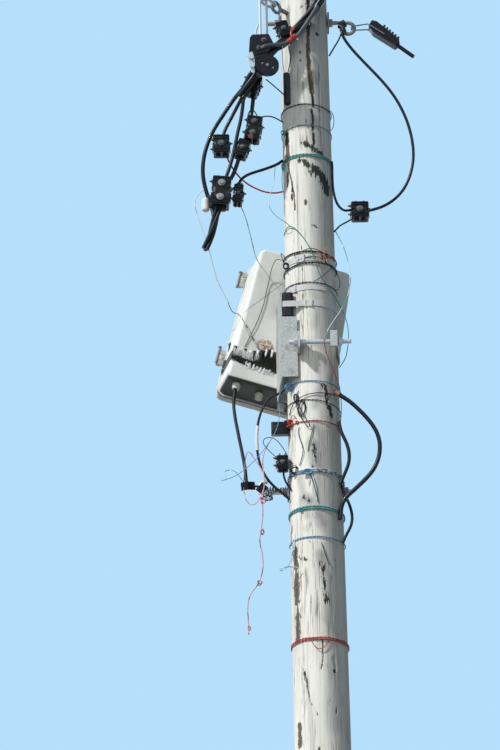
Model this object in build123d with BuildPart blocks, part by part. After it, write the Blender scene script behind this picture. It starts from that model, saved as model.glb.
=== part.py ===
from build123d import *

import os
from math import acos, atan2, cos, degrees, hypot, radians, sin, tan

# Wooden pole, in millimetres, with its base centre at the origin
pole_height = 7500.0
pole_base_diameter = 208.0
pole_top_diameter = 171.0
butt_swell = 5.0
station_shares = (0.0, 0.1, 0.35, 0.6, 0.78, 0.9, 1.0)
top_chamfer = 6.0
seat_gap = 0.3

# Heights of the fittings, each measured from the one above
head_drop = 293.0
anchor_rise = 7.0
bracket_drop = 1461.0
box_rise = 568.0
service_drop = 394.0

# Bolted hardware at the head of the pole
bolt_diameter = 16.0
bore_clearance = 1.0
bore_station = 62.0
pigtail_mean_radius = 24.0
pigtail_rod = 14.0
pigtail_reach = 160.0
pigtail_neck = 40.0
pigtail_closure = 262.0
washer_size = 62.0
service_washer = 54.0
washer_corner = 5.0
washer_thickness = 6.0
washer_gap = 0.2
nut_flats = 26.0
nut_thickness = 13.0
nut_clearance = 0.1
bolt_left_tail = 26.0

service_reach = 78.0
service_hook_radius = 20.0
service_hook_turn = 200.0
service_bolt_end = 10.0

anchor_angle = 225.0
anchor_embed = 52.0
anchor_reach = 36.0
eye_mean_radius = 21.0
eye_rod = 12.0
link_rod = 9.0
link_length = 66.0
link_width = 40.0
link_tilt = 3.0
link_play = 1.0
bail_span = 34.0
bail_rod = 9.0
bail_play = 0.8
bail_length = 181.0
bail_bore = 60.0

# Strain clamp, its keeper and spool, as offsets from the seat of the bail
clamp_width = 46.0
clamp_corner = 5.0
strain_outline = (
    (-50, -172), (-42, -159), (18, -157), (35, -197), (17, -228), (-9, -308), (-30, -320),
    (-41, -310), (-54, -230),
)
keeper_outline = ((-55, -240), (-42, -234), (-33, -267), (-35, -325), (-46, -318), (-60, -254))
keeper_thickness = 8.0
keeper_bolts = ((-46, -260), (-42, -296))
keeper_bolt_head = 9.0
spool_place = (11, -294)
spool_radius = 41.0
spool_thickness = 14.0
spool_window = 9.0

# Distribution box, hung crooked behind the left of the pole
box_yaw = 14.0
box_lean = 12.0
box_top_x = -5.0
box_top_y = 153.0
box_top_width = 342.0
box_bottom_width = 390.0
box_height = 540.0
box_body_depth = 146.0
box_wall = 4.0
box_corner = 26.0
box_edge = 14.0
rim_width = 7.0
rim_thickness = 8.0
lid_gap = 1.0
lid_depth = 54.0
hinge_offset = 24.0
hinge_barrel = 9.0
hinge_pin = 4.0
hinge_length = 60.0
hinge_drops = (72.0, 400.0)
lug_arm_thickness = 10.0

# Outline of the burn in the back of the box
hole_points = (
    (-222, -404),
    (-196, -418),
    (-166, -414),
    (-134, -420),
    (-105, -411),
    (-84, -400),
    (-58, -392),
    (-30, -401),
    (-14, -428),
    (-19, -470),
    (-40, -488),
    (-58, -478),
    (-74, -492),
    (-96, -480),
    (-118, -488),
    (-138, -472),
    (-160, -476),
    (-190, -462),
    (-222, -466),
)
burn_depth = 34.0

# Steel bracket that stands the box off the pole
bracket_face_height = 228.0
bracket_height = 338.0
bracket_steel = 5.0
bracket_face_left = -108.0
bracket_face_right = -52.0
bracket_face_y = -86.0
bracket_splay = 16.0
rib_thickness = 8.0
rod_rise = 117.0
rod_offset = 112.0
rod_diameter = 16.0
rod_left = -80.0
rod_right = 132.0
ear_thickness = 8.0
ear_height = 66.0
ear_reach = 137.0
collar_height = 60.0
collar_steel = 5.0
collar_lean = 4.4
collar_ear_x = -26.0
collar_lip = 20.0
pad_x = -83.0
pad_y = -62.0
pad_width = 38.0
pad_length = 46.0

# Tap connectors of the line: name, place from the seat of the bail, size and turn
line_connectors = (
    ("spur", (72, 30, -113), (44, 62, 38), 20),
    ("upper", (-44, 58, -326), (56, 74, 46), -20),
    ("right_high", (-42, 36, -518), (54, 92, 48), -10),
    ("right_low", (-83, 44, -593), (44, 66, 42), -20),
    ("left", (-157, 52, -573), (58, 72, 46), 0),
    ("main", (-160, 36, -770), (66, 112, 50), -6),
    ("side", (-100, 64, -765), (34, 74, 36), -6),
)
twin_bolted = ("right_high", "main")
jumper_connector_place = (20, -30, -775)
jumper_connector_size = (62, 62, 44)
service_connector_place = (57, -42, 68)
service_connector_size = (40, 50, 36)
connector_corner = 6.0
connector_bolt = 10.0
groove_share = 0.13
jaw_rib = 6.0
jaw_rib_count = 3

# Wedge clamp of the span on the right, from the centre of the pigtail ring
wedge_place = (78, 0, 13)
wedge_drop = 41.0
wedge_length = 140.0
wedge_width = 34.0
wedge_outline = ((0, 16), (18, 24), (126, 17), (140, 6), (134, -14), (34, -20), (6, -10))
wedge_corner = 3.0
wedge_bail_rod = 5.0
wedge_bail_route = ((1, 132, -38), (1, 74, 6), (0.7, 14, 0))
span_diameter = 15.0
span_stub = 70.0

# Service drops: direction and place on the hook of each clamp
drop_clamp_aims = ((228, (-2, -60, -18)), (168, (-43, -40, -16)))
drop_ring_radius = 13.0
drop_ring_rod = 4.0
drop_neck = 20.0
drop_length = 46.0
drop_width = 40.0
drop_thickness = 28.0

# Cable glands, terminal rail and blocks of the box
gland_places = ((-150, -34), (-60, -60), (30, -90))
gland_radius = 15.0
gland_nut = 9.0
gland_neck = 12.0
rail_length = 250.0
rail_width = 35.0
rail_height = 7.5
rail_drop = 300.0
block_count = 5
block_height = 62.0
block_depth = 46.0

# Steel bands and the rubber pad under the lowest
band_thickness = 1.2
band_gap = 0.15
pad_height = 90.0
pad_rise = 4.0
band_rises = (453.0, 340.0, 277.0)
band_widths = (24.0, 22.0, 22.0)

# Tie wires: rise above the fitting they are tied at, and radius of the wire
head_wires = {
    "green": ((-478.0, 1.8), (-596.0, 2.6), (-602.4, 2.6)),
    "dark": ((-392.0, 2.2),),
}
bracket_wires = {
    "blue": ((-21.0, 2.0),),
    "red": ((-170.0, 2.0),),
    "dark": ((476.0, 3.0), (434.0, 3.0), (355.0, 2.2), (-96.0, 1.6)),
}
service_wires = {
    "green": ((-92.0, 2.6), (-98.4, 2.6)),
    "blue": ((43.0, 2.6), (36.6, 2.6), (-200.0, 2.2)),
    "red": ((-556.0, 2.4), (-562.2, 2.4)),
}

# Straight red tail that leaves the lowest red wire to the left
red_tail_angle = 214.0
red_tail_rise = -556.0
red_tail_length = 170.0

# Share of the shorter run that each bend of a cable takes
bend_share = 0.45

# Small fittings on the cables
knob_place = (-215, 58, -806)
knob_radius = 14.0
knob_length = 52.0
sleeve_angle = 226.2
sleeve_low = -390.0
sleeve_length = 125.0
sleeve_radius = 12.0
tape_place = (-19, -6, 13)
tape_radius = 15.0
tape_length = 22.0
contact_radius = 9.5
contact_length = 18.0
junction_place = (51, -30, 202)
junction_size = (60, 24, 46)
junction_corner = 4.0

# Cables held along their whole way: route name and diameter
bundle_diameter = 38.0
tail_diameter = 30.0
thick_strand = 15.0
thin_strand = 13.0
thin_jumper_diameters = (5.0, 6.0, 6.0)

# Ends of the thin jumpers on the shaft: angle, drop and lift
arc_end = (201.2, 443, 2.8)
tail_end = (353.6, 121, 3.3)
low_end = (341.6, 853, 3.4)

# Cables of the line, as offsets from the seat of the bail
line_bundle_route = (
    (276, 88, 113), (248, 56, 73), (210, 40, 26), (177, 40, -27), (143, 41, -77), (106, 38, -118),
    (69, 24, -168), (29, 5, -209), (-6, -1, -255), (-36, 2, -303), (-60, 12, -349), (-84, 26, -391),
)
line_tail_route = (
    (-162, 38, -805), (-174, 38, -847), (-186, 39, -892), (-200, 37, -943), (-218, 38, -991),
)
strand_outer_route = (
    (-58, 14, -337), (-90, 30, -365), (-120, 44, -401), (-152, 48, -453), (-182, 48, -504),
    (-206, 48, -561), (-221, 49, -621), (-225, 50, -681), (-217, 54, -737), (-202, 58, -787),
    (-189, 54, -833), (-185, 44, -875),
)
strand_middle_route = (
    (-66, 18, -361), (-84, 34, -391), (-104, 46, -427), (-124, 53, -465), (-142, 55, -501),
    (-153, 55, -537), (-157, 53, -571),
)
strand_inner_route = (
    (-40, 56, -333), (-41, 48, -377), (-46, 42, -429), (-54, 38, -485), (-70, 40, -545),
    (-88, 44, -599), (-104, 46, -657), (-124, 42, -713), (-150, 36, -759),
)
strand_lower_route = (
    (-74, 20, -373), (-78, 25, -419), (-85, 29, -471), (-98, 31, -527), (-107, 32, -577),
    (-118, 33, -629), (-131, 32, -679), (-148, 33, -725),
)
jumper_black_route = (
    (44, 112, -615), (18, 100, -633), (-12, 90, -650), (-42, 82, -664), (-70, 75, -679),
    (-90, 69, -699), (-100, 65, -725), (-103, 64, -751),
)
jumper_red_route = (
    (-146, 56, -583), (-137, 65, -617), (-118, 76, -651), (-96, 83, -681), (-70, 85, -707),
    (-40, 84, -727), (-8, 90, -739), (22, 102, -738), (45, 115, -729),
)
black_start = (196.9, 597, 6.0)
red_end = (194.3, 719, 3.2)
jumper_arc_route = (
    (-34, 50, -483), (-26, 64, -457), (-8, 76, -440), (18, 88, -432), (43, 102, -435),
)
wire_white_route = (
    (-219, 52, -744), (-248, 56, -765), (-254, 58, -801), (-244, 62, -851), (-228, 68, -895),
    (-212, 78, -943), (-198, 92, -995), (-190, 104, -1031), (-178, 118, -1073), (-160, 132, -1107),
    (-141, 142, -1145),
)
wire_striped_route = (
    (-96, 82, -789), (-88, 90, -803), (-74, 108, -833), (-64, 132, -867), (-54, 158, -901),
    (-46, 188, -929),
)
wire_teal_route = (
    (33, 106, -627), (30, 96, -660), (27, 88, -695), (22, 84, -725), (12, 80, -753), (7, 76, -783),
    (10, 72, -813), (22, 68, -837), (40, 66, -857), (60, 65, -871),
)

# Wire that lies over the back of the box, in the frame of the box
wire_knot_start = (192.0, -478, 6.9)
wire_knot_route = (
    (-118, -88, 102), (-122, -71, 58), (-123, -79, 20), (-120, -123, 4), (-122, -173, 3.5),
    (-120, -218, 3.5), (-126, -265, 3.5), (-132, -311, 3.5), (-144, -361, 3), (-154, -408, 1.55),
)

# Cables of the span, as offsets from the centre of the pigtail ring
jumper_right_route = (
    (-21, -13, 3), (-23, -15, -23), (-17, -17, -49), (0, -19, -81), (24, -20, -117), (57, -20, -159),
    (92, -20, -203), (126, -19, -247), (155, -20, -293), (179, -20, -341), (198, -20, -393),
    (211, -20, -445), (218, -21, -499), (219, -22, -551), (211, -23, -603), (196, -24, -651),
    (175, -25, -691), (148, -26, -723), (116, -27, -747), (82, -28, -763), (46, -29, -772),
)
jumper_tail_route = (
    (-22, -10, -17), (-28, -12, -41), (-40, -13, -67), (-54, -13, -91),
)
jumper_return_route = (
    (-2, -30, -763), (-23, -31, -772), (-43, -33, -767), (-59, -36, -747), (-68, -37, -717),
)
jumper_return_ends = ((337, 681, 6.6), (337, 643, 6.2), (337, 607, 6.8), (337, 575, 6.2))
jumper_low_route = (
    (-2, -31, -799), (-20, -32, -812), (-40, -33, -823), (-57, -32, -834),
)
wire_arc_start = (352, 836, 2.0)
wire_arc_route = (
    (-50, -17, -880), (-37, -27, -925), (-27, -36, -977), (-22, -46, -1032), (-25, -57, -1085),
    (-37, -70, -1136), (-56, -84, -1182), (-78, -98, -1222), (-100, -110, -1262), (-116, -118, -1296),
    (-120, -121.5, -1317),
)

# Green wire down the front of the shaft: angle, drop and lift, then the way round to its right
wire_green_start = (
    (190, 858, 2.0), (207, 844, 5.0), (226, 845, 6.0), (243, 873, 6.0), (259, 913, 7.0),
    (272, 962, 11.0), (280, 1009, 11.0), (288.5, 1058, 9.5), (308, 1094, 9.5), (333, 1118, 6.5),
)
wire_green_end = (355.3, 1371, 2.0)
wire_green_route = (
    (-57, -30, -1152), (-37, -24, -1200), (-32, -18, -1255), (-38, -12, -1303), (-46, -9, -1341),
)

# Cables of the service drops, as offsets from the centre of the service hook
pole_cable_start = (169.0, -396, 5.2)
pole_cable_end = (198.9, 58, 5.0)
service_tail_end = (206.3, 28, 3.2)
wire_blue_start = (216.0, -351, 5.0)
pole_cable_route = (
    (70, 10, 372), (57, -2, 350), (33, -12, 336), (9, -18, 314), (-11, -20, 278), (-23, -21, 234),
    (-29, -21, 188), (-29, -20, 142), (-24, -20, 96), (-12, -20, 54), (8, -21, 16), (33, -26, -14),
    (57, -31, -37),
)
service_tail_route = (
    (59, -44, 52), (59, -46, 28), (64, -47, 6), (72, -45, -11),
)
box_cable_route = (
    (-105, 119, 392), (-107, 112, 358), (-104, 101, 322), (-100, 87, 284), (-94, 70, 244),
    (-89, 50, 204), (-83, 29, 164), (-78, 8, 126), (-73, -10, 88), (-69, -25, 52), (-67, -36, 18),
    (-64, -40, -12),
)
wire_blue_route = (
    (64, -64, 341), (43, -70, 301), (52, -78, 244), (45, -82, 192), (24, -87, 144), (-6, -91, 98),
    (-38, -94, 58), (-74, -94, 24), (-112, -92, -2), (-150, -88, -10),
)
wire_pink_route = (
    (29, -34, 179), (16, -45, 150), (0, -56, 118), (-11, -70, 74), (-9, -88, 24), (-4, -97, -26),
    (-14, -97, -75), (-12, -92, -124), (-16, -86, -173), (-27, -80, -227), (-15, -77, -276),
    (-15, -75, -327), (-29, -73, -376), (-60, -71, -410), (-70, -71, -460), (-65, -70, -514),
    (-66, -70, -553),
)

# Loops of cable on the right: angle, rise and lift off the shaft of both ends, and the way between
loop_high_ends = ((318.7, 342.0, 9.9), (321.7, -126.0, 8.0))
loop_high_route = (
    (17, -2, -16), (45, -4, -37), (77, -4, -70), (107, -4, -106), (131, -4, -144), (144, -4, -186),
    (143, -4, -232), (130, -4, -274), (108, -4, -309), (78, -3, -340), (51, -3, -366), (18, 0, -395),
    (5, 3, -431),
)
loop_mid_ends = ((330.3, 238.0, 6.5), (325.8, 4.0, 7.0))
loop_mid_route = (
    (2, -4, -28), (12, -9, -58), (24, -12, -88), (31, -13, -122), (29, -13, -156), (19, -12, -184),
    (8, -8, -208),
)
loop_low_ends = ((333.2, 4.0, 5.4), (331.5, -204.0, 5.2))
loop_low_route = (
    (5, -2, -22), (15, -3, -48), (26, -3, -75), (33, -3, -110), (30, -3, -140), (20, -3, -164),
    (8, -2, -184),
)


pigtail_height = pole_height - head_drop
anchor_height = pigtail_height + anchor_rise
bracket_low = pigtail_height - bracket_drop
bracket_face_top = bracket_low + bracket_face_height
bracket_top = bracket_low + bracket_height
box_top_z = bracket_low + box_rise
rod_height = bracket_low + rod_rise
service_height = bracket_low - service_drop
bore_heights = (pigtail_height, service_height)
stations = sorted(
    [share * pole_height for share in station_shares]
    + [height + side * bore_station for height in bore_heights for side in (-1, 1)]
)


def station_radius(z):
    """Radius of the grown trunk at a station, swollen towards the butt."""
    share = z / pole_height
    taper = pole_base_diameter * (1 - share) + pole_top_diameter * share
    return taper / 2 + butt_swell * (1 - share) ** 3


def radius_at(z):
    """Radius of the shaft at height z, straight between two stations."""
    for low, high in zip(stations, stations[1:]):
        if z <= high:
            break
    share = (z - low) / (high - low)
    return station_radius(low) * (1 - share) + station_radius(high) * share


def at_shaft(angle, z, lift=0.0):
    """Point on the skin of the shaft, or lifted off it."""
    return on_ring(radius_at(z) + lift, angle, z)


def below(base, places):
    """Points on the shaft, each an angle, a drop below a base point and a lift."""
    return [at_shaft(angle, base.Z - drop, lift) for angle, drop, lift in places]


def shifted(base, offsets):
    """Points given as offsets from a base point."""
    return [base + Vector(*offset) for offset in offsets]


def on_ring(radius, angle, z):
    """Point at an angle round the pole axis."""
    return Vector(radius * cos(radians(angle)), radius * sin(radians(angle)), z)


os.makedirs("parts", exist_ok=True)


def save(name, part):
    """Label a finished piece and write it as one STEP file."""
    part.label = name
    export_step(part, f"parts/{name}.step")


def cable(route, diameter):
    """Round cable along straight runs and arcs as large as the runs allow."""
    points = [Vector(*point) for point in route]
    bends = []
    for before, here, after in zip(points, points[1:], points[2:]):
        half_turn = radians((here - before).get_angle(after - here)) / 2
        shorter = min((here - before).length, (after - here).length)
        bends.append(bend_share * shorter / tan(half_turn))
    with BuildPart() as tube:
        with BuildLine() as path:
            FilletPolyline(*points, radius=bends)
        with BuildSketch(Plane(origin=path.line @ 0, z_dir=path.line % 0)):
            Circle(diameter / 2)
        sweep(path=path.line)
    return tube.part, bends


def hexagon_ring(flats, bore):
    """Outline of a nut with its hole."""
    with BuildSketch() as outline:
        RegularPolygon(flats / 2, 6, major_radius=False)
        Circle(bore, mode=Mode.SUBTRACT)
    return outline.sketch


def washer_outline(width):
    """Outline of a square washer with its hole."""
    with BuildSketch() as outline:
        RectangleRounded(width, width, washer_corner)
        Circle(bolt_diameter / 2 + 0.5, mode=Mode.SUBTRACT)
    return outline.sketch


def bolt_fixings(height, width):
    """Square washer and nut at both ends of a bolt through the shaft, as two lists."""
    washers = []
    nuts = []
    seat = radius_at(height) + washer_gap
    for side in (-1, 1):
        with BuildPart() as washer:
            with BuildSketch(Plane.YZ.offset(side * seat)):
                with Locations((0, height)):
                    add(washer_outline(width))
            extrude(amount=side * washer_thickness)
        with BuildPart() as nut:
            with BuildSketch(Plane.YZ.offset(side * (seat + washer_thickness))):
                with Locations((0, height)):
                    add(hexagon_ring(nut_flats, bolt_diameter / 2 + nut_clearance))
            extrude(amount=side * nut_thickness)
        washers.append(washer.part)
        nuts.append(nut.part)
    return washers, nuts


# Shaft with its bolt bores
with BuildPart() as pole_shaft:
    with BuildSketch(Plane.XZ):
        with BuildLine():
            Polyline((0, 0), *[(station_radius(z), z) for z in stations], (0, pole_height), close=True)
        make_face()
    revolve(axis=Axis.Z)
    chamfer(pole_shaft.edges().group_by(Axis.Z)[-1], top_chamfer)
    with BuildSketch(Plane.YZ.offset(-pole_base_diameter)):
        for height in bore_heights:
            with Locations((0, height)):
                Circle(bolt_diameter / 2 + bore_clearance)
    extrude(amount=2 * pole_base_diameter, mode=Mode.SUBTRACT)
    anchor_out = Vector(cos(radians(anchor_angle)), sin(radians(anchor_angle)), 0)
    anchor_root = at_shaft(anchor_angle, anchor_height)
    anchor_tip = anchor_root - anchor_out * anchor_embed
    with BuildSketch(Plane(origin=anchor_tip, z_dir=anchor_out)):
        Circle(bolt_diameter / 2 + seat_gap)
    extrude(amount=anchor_embed + bolt_diameter, mode=Mode.SUBTRACT)
save("pole_shaft", pole_shaft.part)

# Pigtail bolt through the shaft, its right end closed into a ring
ring_centre = Vector(pigtail_reach, 0, pigtail_height - pigtail_mean_radius)
neck_start = pigtail_reach - pigtail_neck
with BuildPart() as pigtail_bolt:
    bolt_left = -(radius_at(pigtail_height) + washer_thickness + nut_thickness + bolt_left_tail)
    with BuildLine(Plane(origin=ring_centre, x_dir=(1, 0, 0), z_dir=(0, -1, 0))) as pigtail_path:
        Line((-pigtail_neck, pigtail_mean_radius), (0, pigtail_mean_radius))
        CenterArc((0, 0), pigtail_mean_radius, 90, -pigtail_closure)
    with BuildSketch(Plane.YZ.offset(neck_start)):
        with Locations((0, pigtail_height)):
            Circle(pigtail_rod / 2)
    sweep(path=pigtail_path.line)
    with BuildSketch(Plane.YZ.offset(bolt_left)):
        with Locations((0, pigtail_height)):
            Circle(bolt_diameter / 2)
    extrude(amount=neck_start - bolt_left)
save("pigtail_bolt", pigtail_bolt.part)

pigtail_washers, pigtail_nut_pair = bolt_fixings(pigtail_height, washer_size)
with BuildPart() as square_washers:
    add(pigtail_washers)
save("square_washers", square_washers.part)

with BuildPart() as pigtail_nuts:
    add(pigtail_nut_pair)
save("pigtail_nuts", pigtail_nuts.part)

# Eye hook screwed into the front left of the shaft
eye_centre = anchor_root + anchor_out * (anchor_reach + eye_mean_radius)
with BuildPart() as anchor_hook:
    with BuildSketch(Plane(origin=anchor_tip, z_dir=anchor_out)):
        Circle(bolt_diameter / 2)
    extrude(amount=anchor_embed + anchor_reach)
    eye_front = eye_centre + anchor_out * eye_mean_radius
    with BuildSketch(Plane(origin=eye_front, x_dir=anchor_out, z_dir=(0, 0, 1))):
        Circle(eye_rod / 2)
    revolve(axis=Axis(eye_centre, anchor_out.cross(Vector(0, 0, 1))), revolution_arc=360)
save("anchor_hook", anchor_hook.part)

# Shackle link hung in the eye, its far end carrying the clamp bail
tilt = radians(link_tilt)
link_out = anchor_out * cos(tilt) + Vector(0, 0, sin(tilt))
link_across = anchor_out.cross(Vector(0, 0, 1))
link_start = eye_centre + link_out * (eye_mean_radius - eye_rod / 2 - link_play - link_rod)
with BuildPart() as shackle_link:
    link_middle = link_start + link_out * (link_length / 2)
    with BuildSketch(Plane(origin=link_middle, x_dir=link_out, z_dir=link_out.cross(link_across))):
        SlotOverall(link_length, link_width)
        SlotOverall(link_length - 2 * link_rod, link_width - 2 * link_rod, mode=Mode.SUBTRACT)
    extrude(amount=link_rod / 2, both=True)
    fillet(shackle_link.edges(), link_rod * 0.3)
save("shackle_link", shackle_link.part)

# Long bail of the strain clamp, hooked over the far bar of the link
bail_seat = link_start + link_out * (link_length - link_rod / 2)
bail_apex = link_rod / 2 + bail_rod / 2 + bail_play
bail_bend = bail_span / 2
with BuildPart() as clamp_bail:
    with BuildLine(Plane(origin=bail_seat, x_dir=anchor_out, z_dir=link_across)) as bail_path:
        Line((-bail_bend, -bail_length), (-bail_bend, bail_apex - bail_bend))
        CenterArc((0, bail_apex - bail_bend), bail_bend, 180, -180)
        Line((bail_bend, bail_apex - bail_bend), (bail_bend, -bail_length))
    with BuildSketch(Plane(origin=bail_path.line @ 0, z_dir=bail_path.line % 0)):
        Circle(bail_rod / 2)
    sweep(path=bail_path.line)
save("clamp_bail", clamp_bail.part)


def slab(base, outline, thickness, corner, forward=0.0):
    """Upright plate of an outline about a base point, set forward towards -Y."""
    with BuildPart() as plate:
        front = Plane(origin=base, x_dir=(1, 0, 0), z_dir=(0, -1, 0))
        with BuildSketch(front.offset(forward - thickness / 2)):
            with BuildLine():
                FilletPolyline(*outline, radius=corner, close=True)
            make_face()
        extrude(amount=thickness)
    return plate.part


# Strain clamp: wedge housing, side keeper with its bolts, and spool
with BuildPart() as strain_clamp:
    add(slab(bail_seat, strain_outline, clamp_width, clamp_corner))
    for side in (-1, 1):
        leg = bail_seat + anchor_out * (side * bail_bend) - Vector(0, 0, bail_length)
        with BuildSketch(Plane(origin=leg, z_dir=(0, 0, 1))):
            Circle(bail_rod / 2 + 0.1)
        extrude(amount=bail_bore, mode=Mode.SUBTRACT)
save("strain_clamp", strain_clamp.part)

keeper_forward = clamp_width / 2 + keeper_thickness / 2 + seat_gap
clamp_front = Plane(origin=bail_seat, x_dir=(1, 0, 0), z_dir=(0, -1, 0))
with BuildPart() as clamp_keeper:
    add(slab(bail_seat, keeper_outline, keeper_thickness, 3, keeper_forward))
    with BuildSketch(clamp_front.offset(keeper_forward + keeper_thickness / 2)):
        with Locations(*keeper_bolts):
            RegularPolygon(keeper_bolt_head, 6)
    extrude(amount=keeper_thickness)
save("clamp_keeper", clamp_keeper.part)

with BuildPart() as clamp_spool:
    with BuildSketch(clamp_front.offset(clamp_width / 2 + seat_gap)):
        with Locations(spool_place):
            Circle(spool_radius)
            with PolarLocations(spool_radius * 0.52, 2, start_angle=150):
                RegularPolygon(spool_window, 3, mode=Mode.SUBTRACT)
    extrude(amount=spool_thickness)
save("clamp_spool", clamp_spool.part)

# Box frame: u right, v up, w out of the back towards the viewer
yaw = radians(box_yaw)
lean = radians(box_lean)
box_u = Vector(cos(yaw) * cos(lean), sin(yaw) * cos(lean), -sin(lean))
box_w = Vector(sin(yaw), -cos(yaw), 0)
box_v = box_w.cross(box_u)
box_origin = Vector(box_top_x, box_top_y, box_top_z)


def box_plane(w=0.0):
    """Plane across the box at depth w from its back."""
    return Plane(origin=box_origin + box_w * w, x_dir=box_u, z_dir=box_w)


def box_point(u, v, w):
    """Point of the box frame in the pole's frame."""
    return box_origin + box_u * u + box_v * v + box_w * w


def box_outline(grow, corner):
    """Tapered outline of the box, grown evenly, as a sketch."""
    slope = (box_bottom_width - box_top_width) / 2 / box_height
    side = grow * hypot(1, slope)
    top = box_top_width / 2 + side - slope * grow
    bottom = box_bottom_width / 2 + side + slope * grow
    with BuildSketch() as outline:
        with BuildLine():
            FilletPolyline(
                (-top, grow),
                (top, grow),
                (bottom, -box_height - grow),
                (-bottom, -box_height - grow),
                radius=corner,
                close=True,
            )
        make_face()
    return outline.sketch


half_taper = (box_bottom_width - box_top_width) / 2


def edge_u(v):
    """Left edge of the box outline at height v."""
    return -(box_top_width / 2 + half_taper * -v / box_height)


hinge_direction = (box_v * box_height + box_u * half_taper).normalized()
hinge_w = -box_body_depth - lid_gap / 2
hinge_foot = box_point(edge_u(-box_height) - hinge_offset, -box_height, hinge_w)


def hinge_point(drop):
    """Point of the hinge axis at a drop below the top of the box."""
    return hinge_foot + hinge_direction * ((box_height - drop) / cos(atan2(half_taper, box_height)))



def hollow_tray(face_w, open_w):
    """Shell with rounded face edges at face_w, open at open_w."""
    inward = 1 if open_w > face_w else -1
    with BuildPart() as outer:
        with BuildSketch(box_plane(face_w)):
            add(box_outline(0, box_corner))
        extrude(amount=open_w - face_w)
        face_edges = outer.faces().sort_by(Axis(box_origin, box_w * -inward))[-1].edges()
        fillet(face_edges, box_edge)
    with BuildPart() as inner:
        with BuildSketch(box_plane(face_w + inward * box_wall)):
            add(box_outline(-box_wall, box_corner - box_wall))
        extrude(amount=open_w - face_w)
        face_edges = inner.faces().sort_by(Axis(box_origin, box_w * -inward))[-1].edges()
        fillet(face_edges, box_edge - box_wall)
    return outer.part, inner.part


def box_rim(w, amount):
    """Flat flange round the open edge of the box or its lid."""
    with BuildPart() as rim:
        with BuildSketch(box_plane(w)):
            add(box_outline(rim_width, box_corner + rim_width))
        extrude(amount=amount)
    return rim.part


# Moulded box body, burnt through at the lower left of its back
with BuildPart() as box_body:
    shell, cavity = hollow_tray(0, -box_body_depth)
    add(shell)
    add(box_rim(-box_body_depth, rim_thickness))
    add(cavity, mode=Mode.SUBTRACT)
    with BuildSketch(box_plane(1)):
        with BuildLine():
            Polyline(*hole_points, close=True)
        make_face()
    extrude(amount=-burn_depth, mode=Mode.SUBTRACT)
save("box_body", box_body.part)

# Hinge knuckles carried by the box, with their pins
with BuildPart() as box_hinges:
    for drop in hinge_drops:
        middle = hinge_point(drop)
        low = middle - hinge_direction * (hinge_length / 2)
        with BuildSketch(Plane(origin=low, x_dir=box_u, z_dir=hinge_direction)):
            Circle(hinge_pin)
        extrude(amount=hinge_length)
        for step in (0, hinge_length * 0.7):
            leaf = Plane(origin=low + hinge_direction * step, x_dir=box_u, z_dir=hinge_direction)
            with BuildSketch(leaf):
                Circle(hinge_barrel)
                with Locations(((hinge_offset - rim_width) / 2 - 0.5, -lug_arm_thickness / 2)):
                    Rectangle(hinge_offset - rim_width - 1, lug_arm_thickness - 2)
            extrude(amount=hinge_length * 0.3)
save("box_hinges", box_hinges.part)

# Lid on the far side, swung on the left edge
with BuildPart() as box_lid:
    lid_rim = -box_body_depth - lid_gap
    shell, cavity = hollow_tray(lid_rim - lid_depth, lid_rim)
    add(shell)
    add(box_rim(lid_rim, -rim_thickness))
    add(cavity, mode=Mode.SUBTRACT)
    for drop in hinge_drops:
        middle = hinge_point(drop)
        knuckle = hinge_length * 0.36
        low = middle - hinge_direction * (knuckle / 2)
        with BuildSketch(Plane(origin=low, x_dir=box_u, z_dir=hinge_direction)):
            Circle(hinge_barrel)
            with Locations(((hinge_offset - rim_width) / 2, lug_arm_thickness / 2 + 1)):
                Rectangle(hinge_offset - rim_width + 2, lug_arm_thickness - 3)
            Circle(hinge_pin + 0.3, mode=Mode.SUBTRACT)
        extrude(amount=knuckle)
save("box_lid", box_lid.part)

# Welded bracket: splayed channel hugging the pole, with saddle ribs and ears
back_reach = -box_w.dot(box_origin)


def box_back_y(x):
    """Y of the back of the box at x."""
    return (back_reach + sin(yaw) * x) / cos(yaw)


with BuildPart() as bracket_channel:
    web_back = bracket_face_left - bracket_splay
    with BuildSketch(Plane.XY.offset(bracket_low)):
        with BuildLine():
            Polyline(
                (bracket_face_right, bracket_face_y),
                (bracket_face_left, bracket_face_y),
                (web_back, box_back_y(web_back)),
                (bracket_face_right, box_back_y(bracket_face_right)),
            )
            offset(amount=bracket_steel, side=Side.RIGHT, kind=Kind.INTERSECTION)
        make_face()
    extrude(amount=bracket_top - bracket_low)
    with BuildSketch(Plane.XY.offset(bracket_face_top)):
        with Locations(((bracket_face_left + bracket_face_right) / 2 + bracket_steel, bracket_face_y)):
            Rectangle(bracket_face_right - bracket_face_left, 4 * bracket_steel)
    extrude(amount=bracket_top - bracket_face_top, mode=Mode.SUBTRACT)
    for rib_low in (bracket_low + 30, bracket_face_top - 40):
        with BuildSketch(Plane.XY.offset(rib_low)):
            with BuildLine():
                Polyline(
                    (bracket_face_right, bracket_face_y + 1),
                    (bracket_face_left + 1, bracket_face_y + 1),
                    (web_back + 1, box_back_y(web_back) - 1),
                    (bracket_face_right, box_back_y(bracket_face_right) - 1),
                    close=True,
                )
            make_face()
            Circle(radius_at(rib_low) + seat_gap, mode=Mode.SUBTRACT)
        extrude(amount=rib_thickness)
    for side in (-1, 1):
        with BuildSketch(Plane.YZ.offset(bracket_face_right)):
            with Locations((side * (ear_reach + -bracket_face_y - bracket_steel) / 2, rod_height)):
                RectangleRounded(ear_reach + bracket_face_y + bracket_steel, ear_height, 8)
            with Locations((side * rod_offset, rod_height)):
                Circle(rod_diameter / 2 + 1, mode=Mode.SUBTRACT)
        extrude(amount=ear_thickness)
save("bracket_channel", bracket_channel.part)

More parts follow.
